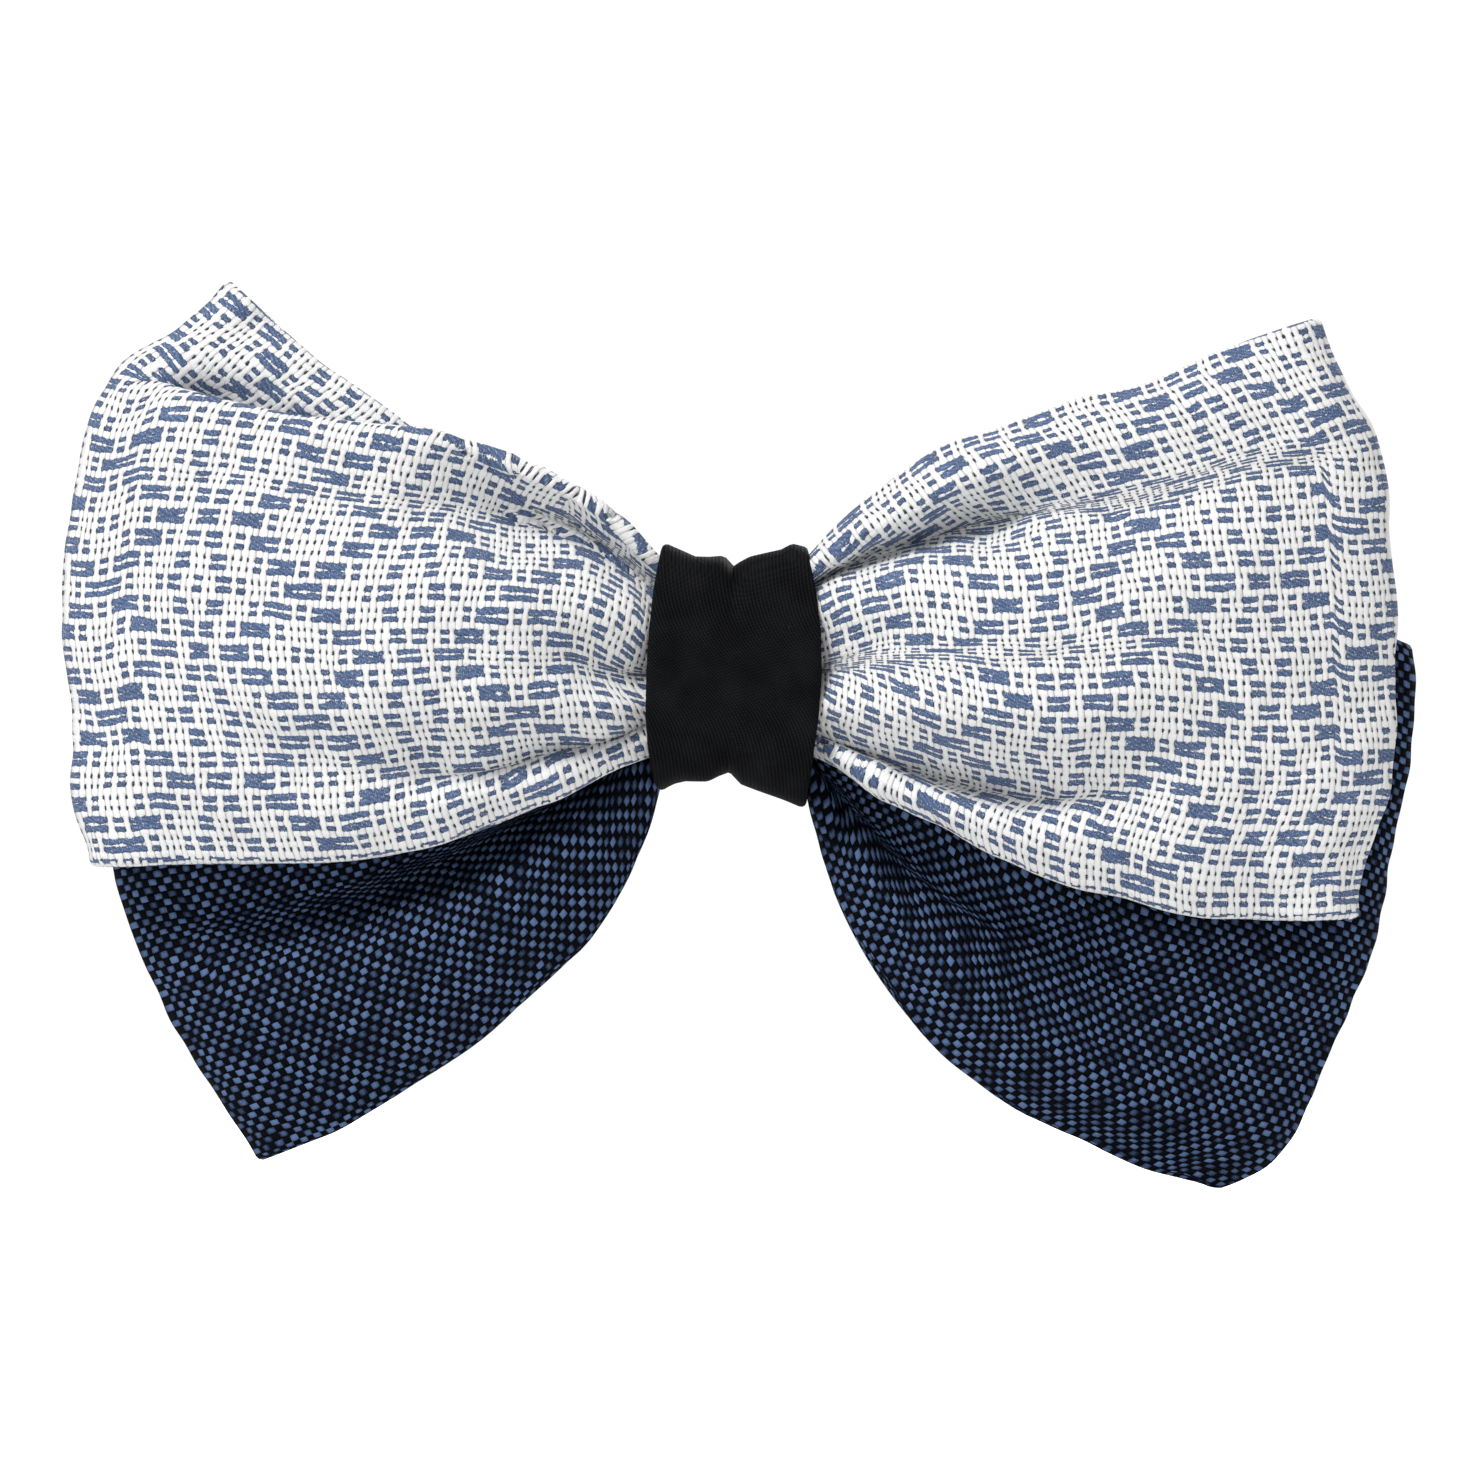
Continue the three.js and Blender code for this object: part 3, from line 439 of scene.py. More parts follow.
def cloth_mesh(name, surface, cloth_x, cloth_z, hills=0.0, thickness=LEAF, closed=False):
    """A middle surface given its thickness and round edges, with UVs in cloth measure."""
    half = thickness / 2
    out = normals_of(surface, closed)
    surface = surface + out * np.broadcast_to(hills, cloth_x.shape)[..., None]
    out = normals_of(surface, closed)
    width_way = np.gradient(surface, axis=1)
    width_way /= np.maximum(np.linalg.norm(width_way, axis=2, keepdims=True), 1e-9)
    angles = np.linspace(0, np.pi, RIM_STEPS + 2)[1:-1]
    # a section runs up the outer side, over the upper edge, down the inner side and under the lower edge
    upper, lower = (
        np.stack([(out[:, e] * np.cos(a) + width_way[:, e] * np.sin(a)) * half for a in angles], axis=1)
        for e in (-1, 0)
    )
    outer, inner = surface + out * half, (surface - out * half)[:, ::-1]
    ring = np.concatenate([outer, surface[:, -1:] + upper, inner, surface[:, :1] - lower], axis=1)
    last, first = cloth_z[:, -1:], cloth_z[:, :1]
    inner_end = 2 * last - first + math.pi * half
    v = np.concatenate(
        [
            cloth_z,
            last + half * angles,
            2 * last - cloth_z[:, ::-1] + math.pi * half,
            inner_end + half * angles,
            inner_end + math.pi * half,
        ],
        axis=1,
    )
    rim = np.ones((1, RIM_STEPS))
    lower_x, upper_x = cloth_x[:, :1], cloth_x[:, -1:]
    u = np.concatenate([cloth_x, upper_x * rim, cloth_x[:, ::-1], lower_x * rim, lower_x], axis=1)
    if closed:
        turn = np.linalg.norm(surface[0] - surface[-1], axis=1).mean() + cloth_x[-1, 0]
        u, v = np.concatenate([u, u[:1] + turn]), np.concatenate([v, v[:1]])
    rows, columns = ring.shape[:2]
    r, c = np.meshgrid(np.arange(len(u) - 1), np.arange(columns), indexing="ij")
    corners = [(r, c), (r + 1, c), (r + 1, c + 1), (r, c + 1)]
    faces = np.stack([i % rows * columns + j % columns for i, j in corners], axis=-1).reshape(-1, 4).tolist()
    places = np.stack([i * (columns + 1) + j for i, j in corners], axis=-1).ravel()
    if not closed:
        start, end = np.arange(columns), np.arange(columns)[::-1]
        faces += [start.tolist(), (end + (rows - 1) * columns).tolist()]
        places = np.concatenate([places, start, end + (rows - 1) * (columns + 1)])
    uv = np.stack([u, v], axis=-1).reshape(-1, 2) * MM / UV_UNIT
    return mesh_piece(name, ring.reshape(-1, 3), faces, uv[places])


def mesh_piece(name, points, faces, uv):
    """A smooth piece from points in mm, with a UV for each face corner."""
    mesh = bpy.data.meshes.new(name)
    mesh.from_pydata((np.asarray(points) * MM).tolist(), [], faces)
    mesh.uv_layers.new(name="cloth").data.foreach_set("uv", np.asarray(uv, np.float32).ravel())
    mesh.polygons.foreach_set("use_smooth", [True] * len(mesh.polygons))
    piece = bpy.data.objects.new(name, mesh)
    bpy.context.collection.objects.link(piece)
    return piece


def lining(name, surface, cloth_x, cloth_z, hills):
    """The crisp interlining inside a bow, on the same middle surface but short of its edges."""
    thin = (slice(None, None, 4), slice(3, -3, 3))
    return cloth_mesh(name, surface[thin], cloth_x[thin], cloth_z[thin], hills[thin], LINING)


def squared(values, power):
    """Turns the sine or cosine of a round section into that of a squarish one."""
    return np.sign(values) * np.abs(values) ** power


def knot_band():
    """The black band folded round both bows' necks, with a crease at the middle of its front."""
    sides_z = [-14.6, -12.7, -11.9, -8.3, -4.6, 0.2, 5, 9.5, 12.3, 14.8]
    left_x = [-8.2, -8.4, -8.8, -9.5, -9.8, -9.7, -9.4, -8.9, -8.4, -7.9]
    right_x = [8.2, 8.4, 8.6, 9.1, 9.6, 9.95, 9.85, 9.3, 8.7, 8.3]
    top = [(-8.4, 14.7), (-6.8, 14.1), (-4.9, 13.4), (-3, 13.3), (-1.5, 13.4), (-0.2, 12), (0.9, 12.7),
           (2.1, 13.3), (5.9, 14.2), (7.2, 14.8), (8.5, 14.5)]
    bottom = [(-8.4, -12.8), (-6.8, -12.1), (-5.4, -11.8), (-2.9, -11.9), (-1.7, -11.3), (-0.4, -10.8),
              (0.3, -11.1), (1.4, -12.3), (3.3, -13), (6.2, -14), (8.4, -14.8)]
    columns, rows, half = 61, 190, BAND_WALL / 2
    across = np.linspace(-BAND_HALF, BAND_HALF, columns)
    upper = np.interp(across, *zip(*top)) - half
    lower = np.interp(across, *zip(*bottom)) + half
    front, rear = BAND_FRONT + half, BAND_REAR - half
    turn = np.linspace(0, 2 * np.pi, 1200)
    surface = []
    for x, high, low in zip(across, upper, lower):
        y = (front + rear) / 2 + (front - rear) / 2 * squared(np.cos(turn), 0.42)
        z = (high + low) / 2 - (high - low) / 2 * squared(np.sin(turn), 0.42)
        line = np.stack([np.zeros_like(y), y, z], axis=1)
        along = lengths(line)
        where = np.linspace(0, along[-1], rows, endpoint=False)
        y, z = np.interp(where, along, y), np.interp(where, along, z)
        left, right = np.interp(z, sides_z, left_x) + half, np.interp(z, sides_z, right_x) - half
        place = left + (right - left) * (x + BAND_HALF) / (2 * BAND_HALF)
        dent = np.exp(-(((x + 0.3) / 1.3) ** 2)) * (np.exp((z - high) / 2.6) + np.exp((low - z) / 2.6))
        face = np.clip((rear + 4 - y) / 8, 0, 1)
        surface.append(np.stack([place, y + dent * face * 1.1, z], axis=1))
    surface = np.stack(surface, axis=1)
    cloth_x = lengths(surface).mean(1)[:, None] * np.ones((1, columns))
    cloth_z = surface[..., 0] + 10
    hills = smooth_noise(29, surface[..., 0] + surface[..., 1], surface[..., 2], 9) * 0.06
    return cloth_mesh("knot_band_cloth", surface, cloth_x, cloth_z, hills, BAND_WALL, closed=True)


def strand(path, radius, sides, steps):
    """A round thread along a path in mm, as steps rings: its points, faces and corner UVs."""
    path = np.asarray(path, float)
    if steps > 1:
        path = even(path, steps)
    way = np.gradient(path, axis=0)
    way /= np.linalg.norm(way, axis=1, keepdims=True)
    side = np.cross(way[0], (0.31, 0.77, 0.55))
    along = lengths(path)
    side_width = 2 * math.pi * radius / sides
    points, faces, uv = [], [], []
    for i, (place, toward) in enumerate(zip(path, way)):
        side = side - toward * side.dot(toward)
        side /= np.linalg.norm(side)
        up = np.cross(toward, side)
        shrink = 0.5 if i in (0, len(path) - 1) else 1
        for k in range(sides):
            a = 2 * math.pi * k / sides
            points.append(place + (side * math.cos(a) + up * math.sin(a)) * radius * shrink)
    for i in range(len(path) - 1):
        for k in range(sides):
            n = (k + 1) % sides
            faces.append([i * sides + k, i * sides + n, (i + 1) * sides + n, (i + 1) * sides + k])
            corners = (i, k), (i, k + 1), (i + 1, k + 1), (i + 1, k)
            uv += [[along[j] * MM / UV_UNIT, side_width * t * MM / UV_UNIT] for j, t in corners]
    for ring, row in ((range(sides - 1, -1, -1), 0), (range(sides), len(path) - 1)):
        faces.append([row * sides + k for k in ring])
        uv += [[along[row] * MM / UV_UNIT, 0]] * sides
    return points, faces, uv


def strands(name, paths, radius, steps=1):
    """Several threads as one piece. With steps of 1, a path's own points are its rings."""
    points, faces, uv = [], [], []
    for path in paths:
        more_points, more_faces, more_uv = strand(path, radius, THREAD_SIDES, steps)
        faces += [[i + len(points) for i in face] for face in more_faces]
        points += more_points
        uv += more_uv
    return mesh_piece(name, points, faces, uv)


def seam_stitches(band):
    """Slanted hand stitches that close the band behind the knot, below the clip."""
    count, reach, rise, seam, gap = 9, 7.5, 0.5, -9.0, 0.12
    # how deep a stitch lies in the cloth at each share of its length
    profile = (0, 0.6), (0.08, 0.05), (0.3, -0.08), (0.5, -0.1), (0.7, -0.08), (0.92, 0.05), (1, 0.6)
    faces = [list(face.vertices) for face in band.data.polygons]
    cloth = BVHTree.FromPolygons([point.co for point in band.data.vertices], faces)
    xs = np.linspace(-reach, reach, count + 1)
    paths = []
    for i in range(count):
        up = rise if i % 2 else -rise
        start, end = np.array([xs[i] + gap, seam + up]), np.array([xs[i + 1] - gap, seam - up])
        for shift in (-0.11, 0.11):
            path = []
            for share, sunk in profile:
                x, z = start + (end - start) * share
                behind = cloth.ray_cast(Vector((x, 10, z + shift)) * MM, Vector((0, -1, 0)))[0]
                path.append((x, behind.y / MM - sunk, z + shift))
            paths.append(path)
    return strands("band_seam_stitches", paths, 0.13, 12)


def clip_stitches(name, rise):
    """Five passes of thread over the plate between its two holes, down to the band."""
    paths = []
    for i, shift in enumerate((-0.24, -0.12, 0, 0.12, 0.24)):
        over = -0.52 + (0.1 if i % 2 else 0)
        z = rise + shift * 1.2
        inner = rise + shift * 0.7
        right = [
            (0.7, over, z), (1.25, over - 0.08, (z + inner) / 2),
            (1.52, -1.2, inner), (1.5, CLIP_BACK, inner),
        ]
        left = [(-x, y, z) for x, y, z in reversed(right)]
        paths.append(left + right)
    return strands(name, paths, 0.15, 26)


def gathering_thread(name, depth, half_depth):
    """Thread wound tightly round a bow's neck, its two ends tucked under."""
    turns, steps = 7, 44
    a = np.linspace(0, 2 * np.pi * turns, turns * steps)
    x = np.linspace(-2.1, 2.1, len(a))
    y = -depth - half_depth * squared(np.cos(a), 0.6)
    z = 0.6 - 9.4 * squared(np.sin(a), 0.6)
    return strands(name, [np.stack([x, y, z], axis=1)], 0.32)


def edit(piece):
    """Starts edit mode on one piece alone."""
    bpy.ops.object.select_all(action="DESELECT")
    piece.select_set(True)
    bpy.context.view_layer.objects.active = piece
    bpy.ops.object.mode_set(mode="EDIT")


def leave_edit():
    bpy.ops.object.mode_set(mode="OBJECT")


def apply_modifiers(piece):
    for modifier in list(piece.modifiers):
        bpy.ops.object.modifier_apply(modifier=modifier.name)


def stamped(name, node, edge=0.12):
    """A stamped part with its sheared edges rounded over by edge mm, from the plain one."""
    piece = bpy.data.objects.new(name, frame["nodes"][node].data.copy())
    bpy.context.collection.objects.link(piece)
    edit(piece)
    bpy.ops.mesh.select_all(action="SELECT")
    bpy.ops.mesh.remove_doubles(threshold=1e-6)
    bpy.ops.mesh.dissolve_limited(angle_limit=math.radians(1))
    leave_edit()
    bevel = piece.modifiers.new("edge", "BEVEL")
    bevel.width, bevel.segments = edge * MM, 2
    bevel.limit_method, bevel.angle_limit = "ANGLE", math.radians(32)
    bevel.use_clamp_overlap = True
    apply_modifiers(piece)
    bpy.ops.object.shade_smooth_by_angle(angle=math.radians(40))
    return piece


def torsion_spring(name, side):
    """A closed coil on its pin, with the leg that bears on the plate."""
    axis = Vector((side * HINGE_X, HINGE_Y, 0)) * MM
    radius, wire, turns, height = 1.15 * MM, 0.3 * MM, 8.5, 7.1 * MM
    bpy.ops.object.select_all(action="DESELECT")
    bpy.ops.mesh.primitive_circle_add(
        vertices=12, radius=wire, location=axis + Vector((0, 0, -height / 2)), rotation=(0, math.pi / 2, 0)
    )
    piece = bpy.context.object
    piece.name = piece.data.name = name
    bpy.ops.object.transform_apply(location=False, rotation=True, scale=False)
    edit(piece)
    bpy.ops.mesh.select_all(action="SELECT")
    bpy.ops.transform.translate(value=(0, radius, 0))
    leave_edit()
    screw = piece.modifiers.new("coil", "SCREW")
    screw.axis, screw.angle, screw.iterations = "Z", -side * math.pi, int(turns * 2)
    screw.screw_offset = height / (turns * 2)
    screw.steps = screw.render_steps = 14
    apply_modifiers(piece)
    bpy.ops.object.transform_apply(location=True, rotation=False, scale=False)
    edit(piece)
    bpy.ops.mesh.select_mode(type="VERT")
    bpy.ops.mesh.select_all(action="DESELECT")
    leave_edit()
    # the wire's upper end is its last ring, over the axis
    for v in piece.data.vertices:
        if v.co.z > height / 2 - wire * 1.05 and abs(v.co.x - axis.x) < 1e-6:
            v.select = v.co.y < axis.y
    edit(piece)
    bpy.ops.mesh.extrude_region_move(TRANSFORM_OT_translate={"value": (-side * 0.5 * MM, -0.05 * MM, 0)})
    bpy.ops.mesh.extrude_region_move(TRANSFORM_OT_translate={"value": (-side * 3.7 * MM, -0.9 * MM, 0)})
    bpy.ops.mesh.select_all(action="SELECT")
    bpy.ops.mesh.select_mode(type="EDGE")
    bpy.ops.mesh.select_all(action="DESELECT")
    bpy.ops.mesh.select_non_manifold()
    bpy.ops.mesh.edge_face_add()
    bpy.ops.mesh.select_all(action="SELECT")
    bpy.ops.mesh.remove_doubles(threshold=1e-6)
    bpy.ops.mesh.normals_make_consistent(inside=False)
    leave_edit()
    bpy.ops.object.shade_smooth_by_angle(angle=math.radians(50))
    return piece


front_grid = bow_grid(FRONT_LEFT, FRONT_RIGHT, 13.6, -0.5, 3)
back_grid = bow_grid(BACK_LEFT, BACK_RIGHT, 4.6, 1.0, 11)
front_bow = cloth_mesh("front_bow_cloth", *front_grid)
back_bow = cloth_mesh("back_bow_cloth", *back_grid)
front_lining = lining("front_bow_lining", *front_grid)
back_lining = lining("back_bow_lining", *back_grid)
band = knot_band()
front_thread = gathering_thread("front_gathering_thread", 15.2, 2.75)
back_thread = gathering_thread("back_gathering_thread", 7.1, 2.9)
seam = seam_stitches(band)
upper_stitch = clip_stitches("clip_stitches_upper", 4.2)
lower_stitch = clip_stitches("clip_stitches_lower", -4.2)
plate = stamped("clip_plate_stamped", "clip_plate")
left_jaw = stamped("left_jaw_stamped", "left_jaw")
right_jaw = stamped("right_jaw_stamped", "right_jaw")
left_pin = stamped("left_pin_riveted", "left_pivot_pin", 0.15)
right_pin = stamped("right_pin_riveted", "right_pivot_pin", 0.15)
left_spring = torsion_spring("left_coil_spring", -1)
right_spring = torsion_spring("right_coil_spring", 1)

# ---- Finishes ----------------------------------------------------------------------------------


class Wire:
    """A value that varies over a surface. Sums written with wires add Math nodes."""

    def __init__(self, finish, socket):
        self.finish, self.socket = finish, socket

    def sum(self, operation, *values):
        inputs = dict(enumerate(values))
        return self.finish.node("ShaderNodeMath", {"operation": operation}, inputs)

    def __add__(self, other):
        return self.sum("ADD", self, other)

    def __sub__(self, other):
        return self.sum("SUBTRACT", self, other)

    def __rsub__(self, other):
        return self.sum("SUBTRACT", other, self)

    def __mul__(self, other):
        return self.sum("MULTIPLY", self, other)

    def __truediv__(self, other):
        return self.sum("DIVIDE", self, other)

    def __rtruediv__(self, other):
        return self.sum("DIVIDE", other, self)

    def __lt__(self, other):
        return self.sum("LESS_THAN", self, other)

    def __gt__(self, other):
        return self.sum("GREATER_THAN", self, other)

    def __abs__(self):
        return self.sum("ABSOLUTE", self)

    def __round__(self):
        return self.sum("ROUND", self)

    __radd__, __rmul__ = __add__, __mul__


def larger(a, b):
    return a.sum("MAXIMUM", a, b)


def smaller(a, b):
    return a.sum("MINIMUM", a, b)


def limited(value):
    return smaller(larger(value, 0.0), 1.0)


def there_and_back(value, reach):
    return value.sum("PINGPONG", value, reach)


def wave(value):
    """The cosine of a wire."""
    return value.sum("COSINE", value)


def bulge(share):
    """The height of a round thread, 1 at its middle and 0 at share 1, where its edge is."""
    return share.sum("SQRT", larger(1 - share * share, 0.0))


class Finish:
    """A material on the Principled shader, made of nodes."""

    def __init__(self, name, constants):
        self.material = bpy.data.materials.new(name)
        self.material.use_nodes = True
        self.tree = self.material.node_tree
        self.shader = self.tree.nodes["Principled BSDF"]
        for socket, value in constants.items():
            self.shader.inputs[socket].default_value = value

    def fill(self, socket, value):
        if isinstance(value, Wire):
            self.tree.links.new(value.socket, socket)
        else:
            socket.default_value = value

    def node(self, kind, settings=None, inputs=None, output=0):
        """Adds a node and returns one of its outputs. Its settings are set first, then its sockets."""
        node = self.tree.nodes.new(kind)
        for name, value in (settings or {}).items():
            if name == "stops":
                stops = node.color_ramp.elements
                for _ in range(len(value) - 2):
                    stops.new(0.5)
                for stop, (place, colour) in zip(stops, value):
                    stop.position = place
                    stop.color = colour
            elif name == "interpolation":
                node.color_ramp.interpolation = value
            else:
                setattr(node, name, value)
        for name, value in (inputs or {}).items():
            self.fill(node.inputs[name], value)
        return Wire(self, node.outputs[output])

    def mix(self, factor, a, b):
        """The colour a where factor is 0 and b where it is 1."""
        return self.node("ShaderNodeMix", {"data_type": "RGBA"}, {0: factor, 6: a, 7: b}, 2)

    def noise(self, vector, scale, detail=1.0, stretch=(1, 1, 1), output=0):
        """Soft random values about 0.5."""
        vector = self.node("ShaderNodeVectorMath", {"operation": "MULTIPLY"}, {0: vector, 1: stretch})
        inputs = {"Vector": vector, "Scale": scale, "Detail": detail}
        return self.node("ShaderNodeTexNoise", None, inputs, output)

    def scatter(self, column, row):
        """A random value for each thread crossing, 0 to 1."""
        crossing = self.node("ShaderNodeCombineXYZ", None, {0: column, 1: row})
        return self.node("ShaderNodeTexWhiteNoise", {"noise_dimensions": "2D"}, {"Vector": crossing})

    def parts(self, vector):
        """The x, y and z of a vector, or the red, green and blue of a colour."""
        node = self.tree.nodes.new("ShaderNodeSeparateXYZ")
        self.fill(node.inputs[0], vector)
        return [Wire(self, o) for o in node.outputs]

    def cloth(self, sway, cell):
        """The cloth's own measure in mm, along the weft and across it, with threads that sway a little."""
        uv = self.node("ShaderNodeUVMap", {"uv_map": "cloth"})
        flat = self.node("ShaderNodeVectorMath", {"operation": "SCALE"}, {0: uv, "Scale": UV_UNIT / MM})
        drift = self.noise(flat, 1 / cell, 1.0, output=1)
        drift = self.node("ShaderNodeVectorMath", {"operation": "SUBTRACT"}, {0: drift, 1: (0.5, 0.5, 0.5)})
        drift = self.node("ShaderNodeVectorMath", {"operation": "SCALE"}, {0: drift, "Scale": sway})
        moved = self.node("ShaderNodeVectorMath", {"operation": "ADD"}, {0: flat, 1: drift})
        along, across, _ = self.parts(moved)
        return flat, along, across

    def surface(self, colour, roughness, height, depth):
        """Gives the shader its colour and roughness, and a bump of height times depth mm."""
        self.fill(self.shader.inputs["Base Color"], colour)
        self.fill(self.shader.inputs["Roughness"], roughness)
        bump = {"Height": height, "Distance": depth * MM, "Strength": 1.0}
        self.fill(self.shader.inputs["Normal"], self.node("ShaderNodeBump", None, bump))
        return self.material


WARP = 0.79  # mm from one white warp thread to the next
PAIR = 2.36  # mm from one pair of blue picks to the next
PATTERN_START = 2.6  # mm from the lower edge to the first solid bar
NAVY_WARP, NAVY_WEFT = 0.79, 0.84  # mm between the navy cloth's threads
TWILL_RIB, TWILL_PICK = 0.40, 0.36  # mm between the twill's lines, and between its picks
LINING_REPEAT = 0.5  # mm over which the interlining's weave repeats
LONGEST = 8  # no float passes more threads than this
DRAFT = [1, 2, 3, 4, 1, 2, 1, 2, 3, 2, 3, 4, 3, 4, 1, 4]  # the shaft that lifts each warp thread


def float_table():
    """For each warp thread of the draft and each of the four blocks: is the blue on top there?"""
    return [[float((shaft + block) % 4 in (0, 1)) for block in range(4)] for shaft in DRAFT]


def reach_table():
    """How far the blue floats at each warp thread, from 0 where it is under it or over it alone, to 1."""
    table = float_table()
    last = len(table) - 1

    def up(i, block):
        """The draft is threaded to its end and back again."""
        return table[last - abs(last - abs(i) % (2 * last))][block]

    def float_share(i, block):
        before, after = (
            next(n for n in range(LONGEST + 1) if n == LONGEST or not up(i + n * way, block))
            for way in (-1, 1)
        )
        return min(max(before + after - 2, 0) / 3, 1.0) * up(i, block)

    return [[float_share(i, block) for block in range(4)] for i in range(len(table))]


def overshot_finish():
    """Natural white warp and binder with a denim blue pattern weft that floats in small diamonds."""
    f = Finish("overshot_cloth", {"Sheen Weight": 0.10, "Specular IOR Level": 0.2})
    flat, along, across = f.cloth(0.42, 2.4)
    fuzz = f.noise(flat, 7.0, 2.5) - 0.5
    uneven = f.noise(flat, 1.1, 1.0) - 0.5
    # each thread wanders on its own: warps across, picks along
    along = along + (f.noise(flat, 1.2, 1.0, stretch=(1, 0.35, 1)) - 0.5) * 0.30
    across = across + (f.noise(flat, 1.2, 1.0, stretch=(0.3, 1, 1)) - 0.5) * 0.30
    warp = along / WARP
    thread = round(warp)
    off_warp = abs(warp - thread) * 2
    pair = (across - PATTERN_START) / PAIR
    middle = round(pair)
    off_pair = abs(pair - middle)
    block = there_and_back(middle, 3.0)
    last = len(DRAFT) - 1

    def from_table(rows, place, interpolation, shift):
        stops = [(max(0.0, (i - shift) / last), row) for i, row in enumerate(rows)]
        ramp = {"stops": stops, "interpolation": interpolation}
        where = there_and_back(place + float(last), float(last)) / last
        colour = f.node("ShaderNodeValToRGB", ramp, {"Fac": where})
        channels = f.parts(colour) + [Wire(f, colour.socket.node.outputs["Alpha"])]
        total = 0.0
        for i, channel in enumerate(channels):
            total = channel * block.sum("COMPARE", block, float(i), 0.5) + total
        return total

    blue_up = from_table(float_table(), thread, "CONSTANT", 0.5)
    reach = from_table(reach_table(), warp, "LINEAR", 0.0)
    loose = f.noise(flat, 0.30, 1.0) - 0.5
    pinch = reach * limited(loose * 5 + uneven * 1.5 + 0.40)
    # the picks of a pair close up where they float far, and under the warp they show only as dots
    centre = 0.222 - pinch * 0.085
    half_pick = blue_up * 0.052 + reach * 0.028 + 0.095 + uneven * 0.05
    off_pick = abs(off_pair - centre) / half_pick + fuzz
    blue_high = bulge(off_pick) * 0.34 + blue_up * 0.62
    blue_there = off_pick < 1.0
    over_pick = limited(1.5 - off_pick)
    off_thread = off_warp / (0.90 + uneven * 0.14 - over_pick * 0.20) + fuzz * 0.6
    warp_high = bulge(off_thread) * 0.42 + 0.36
    warp_there = off_thread < 1.0
    binder = round(pair * 2)
    off_binder = abs(pair * 2 - binder) / (0.29 + uneven * 0.05) + fuzz * 0.5
    binder_up = wave((thread + binder) * math.pi) * 0.5 + 0.5
    between = off_pair < 0.2
    binder_high = bulge(off_binder) * 0.36 + binder_up * 0.52 - pinch * between * 0.9
    binder_there = off_binder < 1.0
    blue = blue_high * blue_there
    white = larger(warp_high * warp_there, binder_high * binder_there)
    height = larger(blue, white)
    is_blue = (blue > white) * blue_there
    # plies twist along each thread
    twist = wave((along * 1.05 + across * 2.2) * 2 * math.pi) * 0.5 + 0.5
    fibres = wave((along * 2.6 - across * 4.2 + uneven * 2) * 2 * math.pi) * 0.5 + 0.5
    grain = f.noise(flat, 11.0, 2.0, stretch=(0.5, 1.2, 1)) - 0.5
    patches = f.noise(flat, 0.16, 2.0) - 0.5
    each = f.scatter(thread, binder) - 0.5
    # painted shade: each blue pick is painted lighter on its crown and on its plies' tops and darker at its edges, and
    # much darker where it passes under the warp; grain and each crossing also vary it at random
    tone = limited(each * 0.25 + twist * 0.5 + grain * 1.5 + bulge(off_pick) * 0.45 - 0.12)
    blue_with_painted_shade = f.mix(tone, (0.040, 0.070, 0.150, 1), (0.140, 0.208, 0.372, 1))
    blue_with_painted_shade = f.mix(limited(blue_up * 0.75 + reach * 0.3 + 0.1), (0.026, 0.034, 0.055, 1), blue_with_painted_shade)
    # painted shade: the white threads are painted darker where they lie low, down between and under the other threads;
    # grain, faint fibre lines and each crossing also vary them at random
    tone = limited(height * 1.6 + grain * 0.9 + each * 0.35 + fibres * 0.16 - 0.26)
    white_with_painted_shade = f.mix(tone, (0.40, 0.40, 0.41, 1), (0.94, 0.94, 0.935, 1))
    colour = f.mix(is_blue, white_with_painted_shade, blue_with_painted_shade)
    # painted shade: where no thread lies, a dark grey stands for the shade in the holes between threads
    gap = 1 - larger(blue_there, larger(warp_there, binder_there))
    colour = f.mix(gap * 0.9, colour, (0.10, 0.105, 0.12, 1))
    # loose white fibres lie over the blue
    hair = (f.noise(flat, 8.0, 2.0, stretch=(1, 0.4, 1)) > 0.62) * 0.45
    colour = f.mix(hair, colour, (0.80, 0.80, 0.80, 1))
    return f.surface(colour, 0.9 + patches * 0.1, height + grain * 0.16 + twist * 0.05 + fibres * 0.03, 0.30)


def navy_finish():
    """Plain weave of black warp and denim blue weft, which reads as navy."""
    f = Finish("navy_cloth", {"Specular IOR Level": 0.05})
    flat, along, across = f.cloth(0.42, 2.2)
    fuzz = f.noise(flat, 5.0, 2.0) - 0.5
    warp, weft = along / NAVY_WARP, (across + along * 0.04) / NAVY_WEFT
    thread, pick = round(warp), round(weft)
    off_thread, off_pick = abs(warp - thread) * 2, abs(weft - pick) * 2
    weft_lift = wave(warp * math.pi) * wave(pick * math.pi)
    warp_lift = wave(thread * math.pi) * wave(weft * math.pi) * -1
    weft_high = bulge(off_pick / 0.80 + fuzz * 0.5) * 0.5 + weft_lift * 0.5
    warp_high = bulge(off_thread / 0.98) * 0.5 + warp_lift * 0.42
    is_blue = (weft_high > warp_high) * (off_pick < 0.82)
    height = larger(weft_high, warp_high) + 0.2
    grain = f.noise(flat, 8.0, 2.0, stretch=(0.6, 1.2, 1)) - 0.5
    each = (f.scatter(thread, pick) - 0.5) * 0.7 + f.noise(flat, 0.35, 2.0) - 0.5
    # painted shade: the blue weft and the black warp are both painted lighter where they ride high and darker where
    # they dip under each other; grain and each crossing also vary them at random
    tone = limited(weft_high * 0.9 + grain * 1.4 + each * 1.3 - 0.10)
    blue_with_painted_shade = f.mix(tone, (0.014, 0.023, 0.050, 1), (0.112, 0.180, 0.345, 1))
    black_with_painted_shade = f.mix(
        limited(warp_high * 0.7 + grain), (0.0006, 0.0008, 0.0018, 1), (0.0042, 0.0052, 0.0095, 1)
    )
    return f.surface(f.mix(is_blue, black_with_painted_shade, blue_with_painted_shade), 0.85 + grain * 0.1, height + grain * 0.1, 0.26)


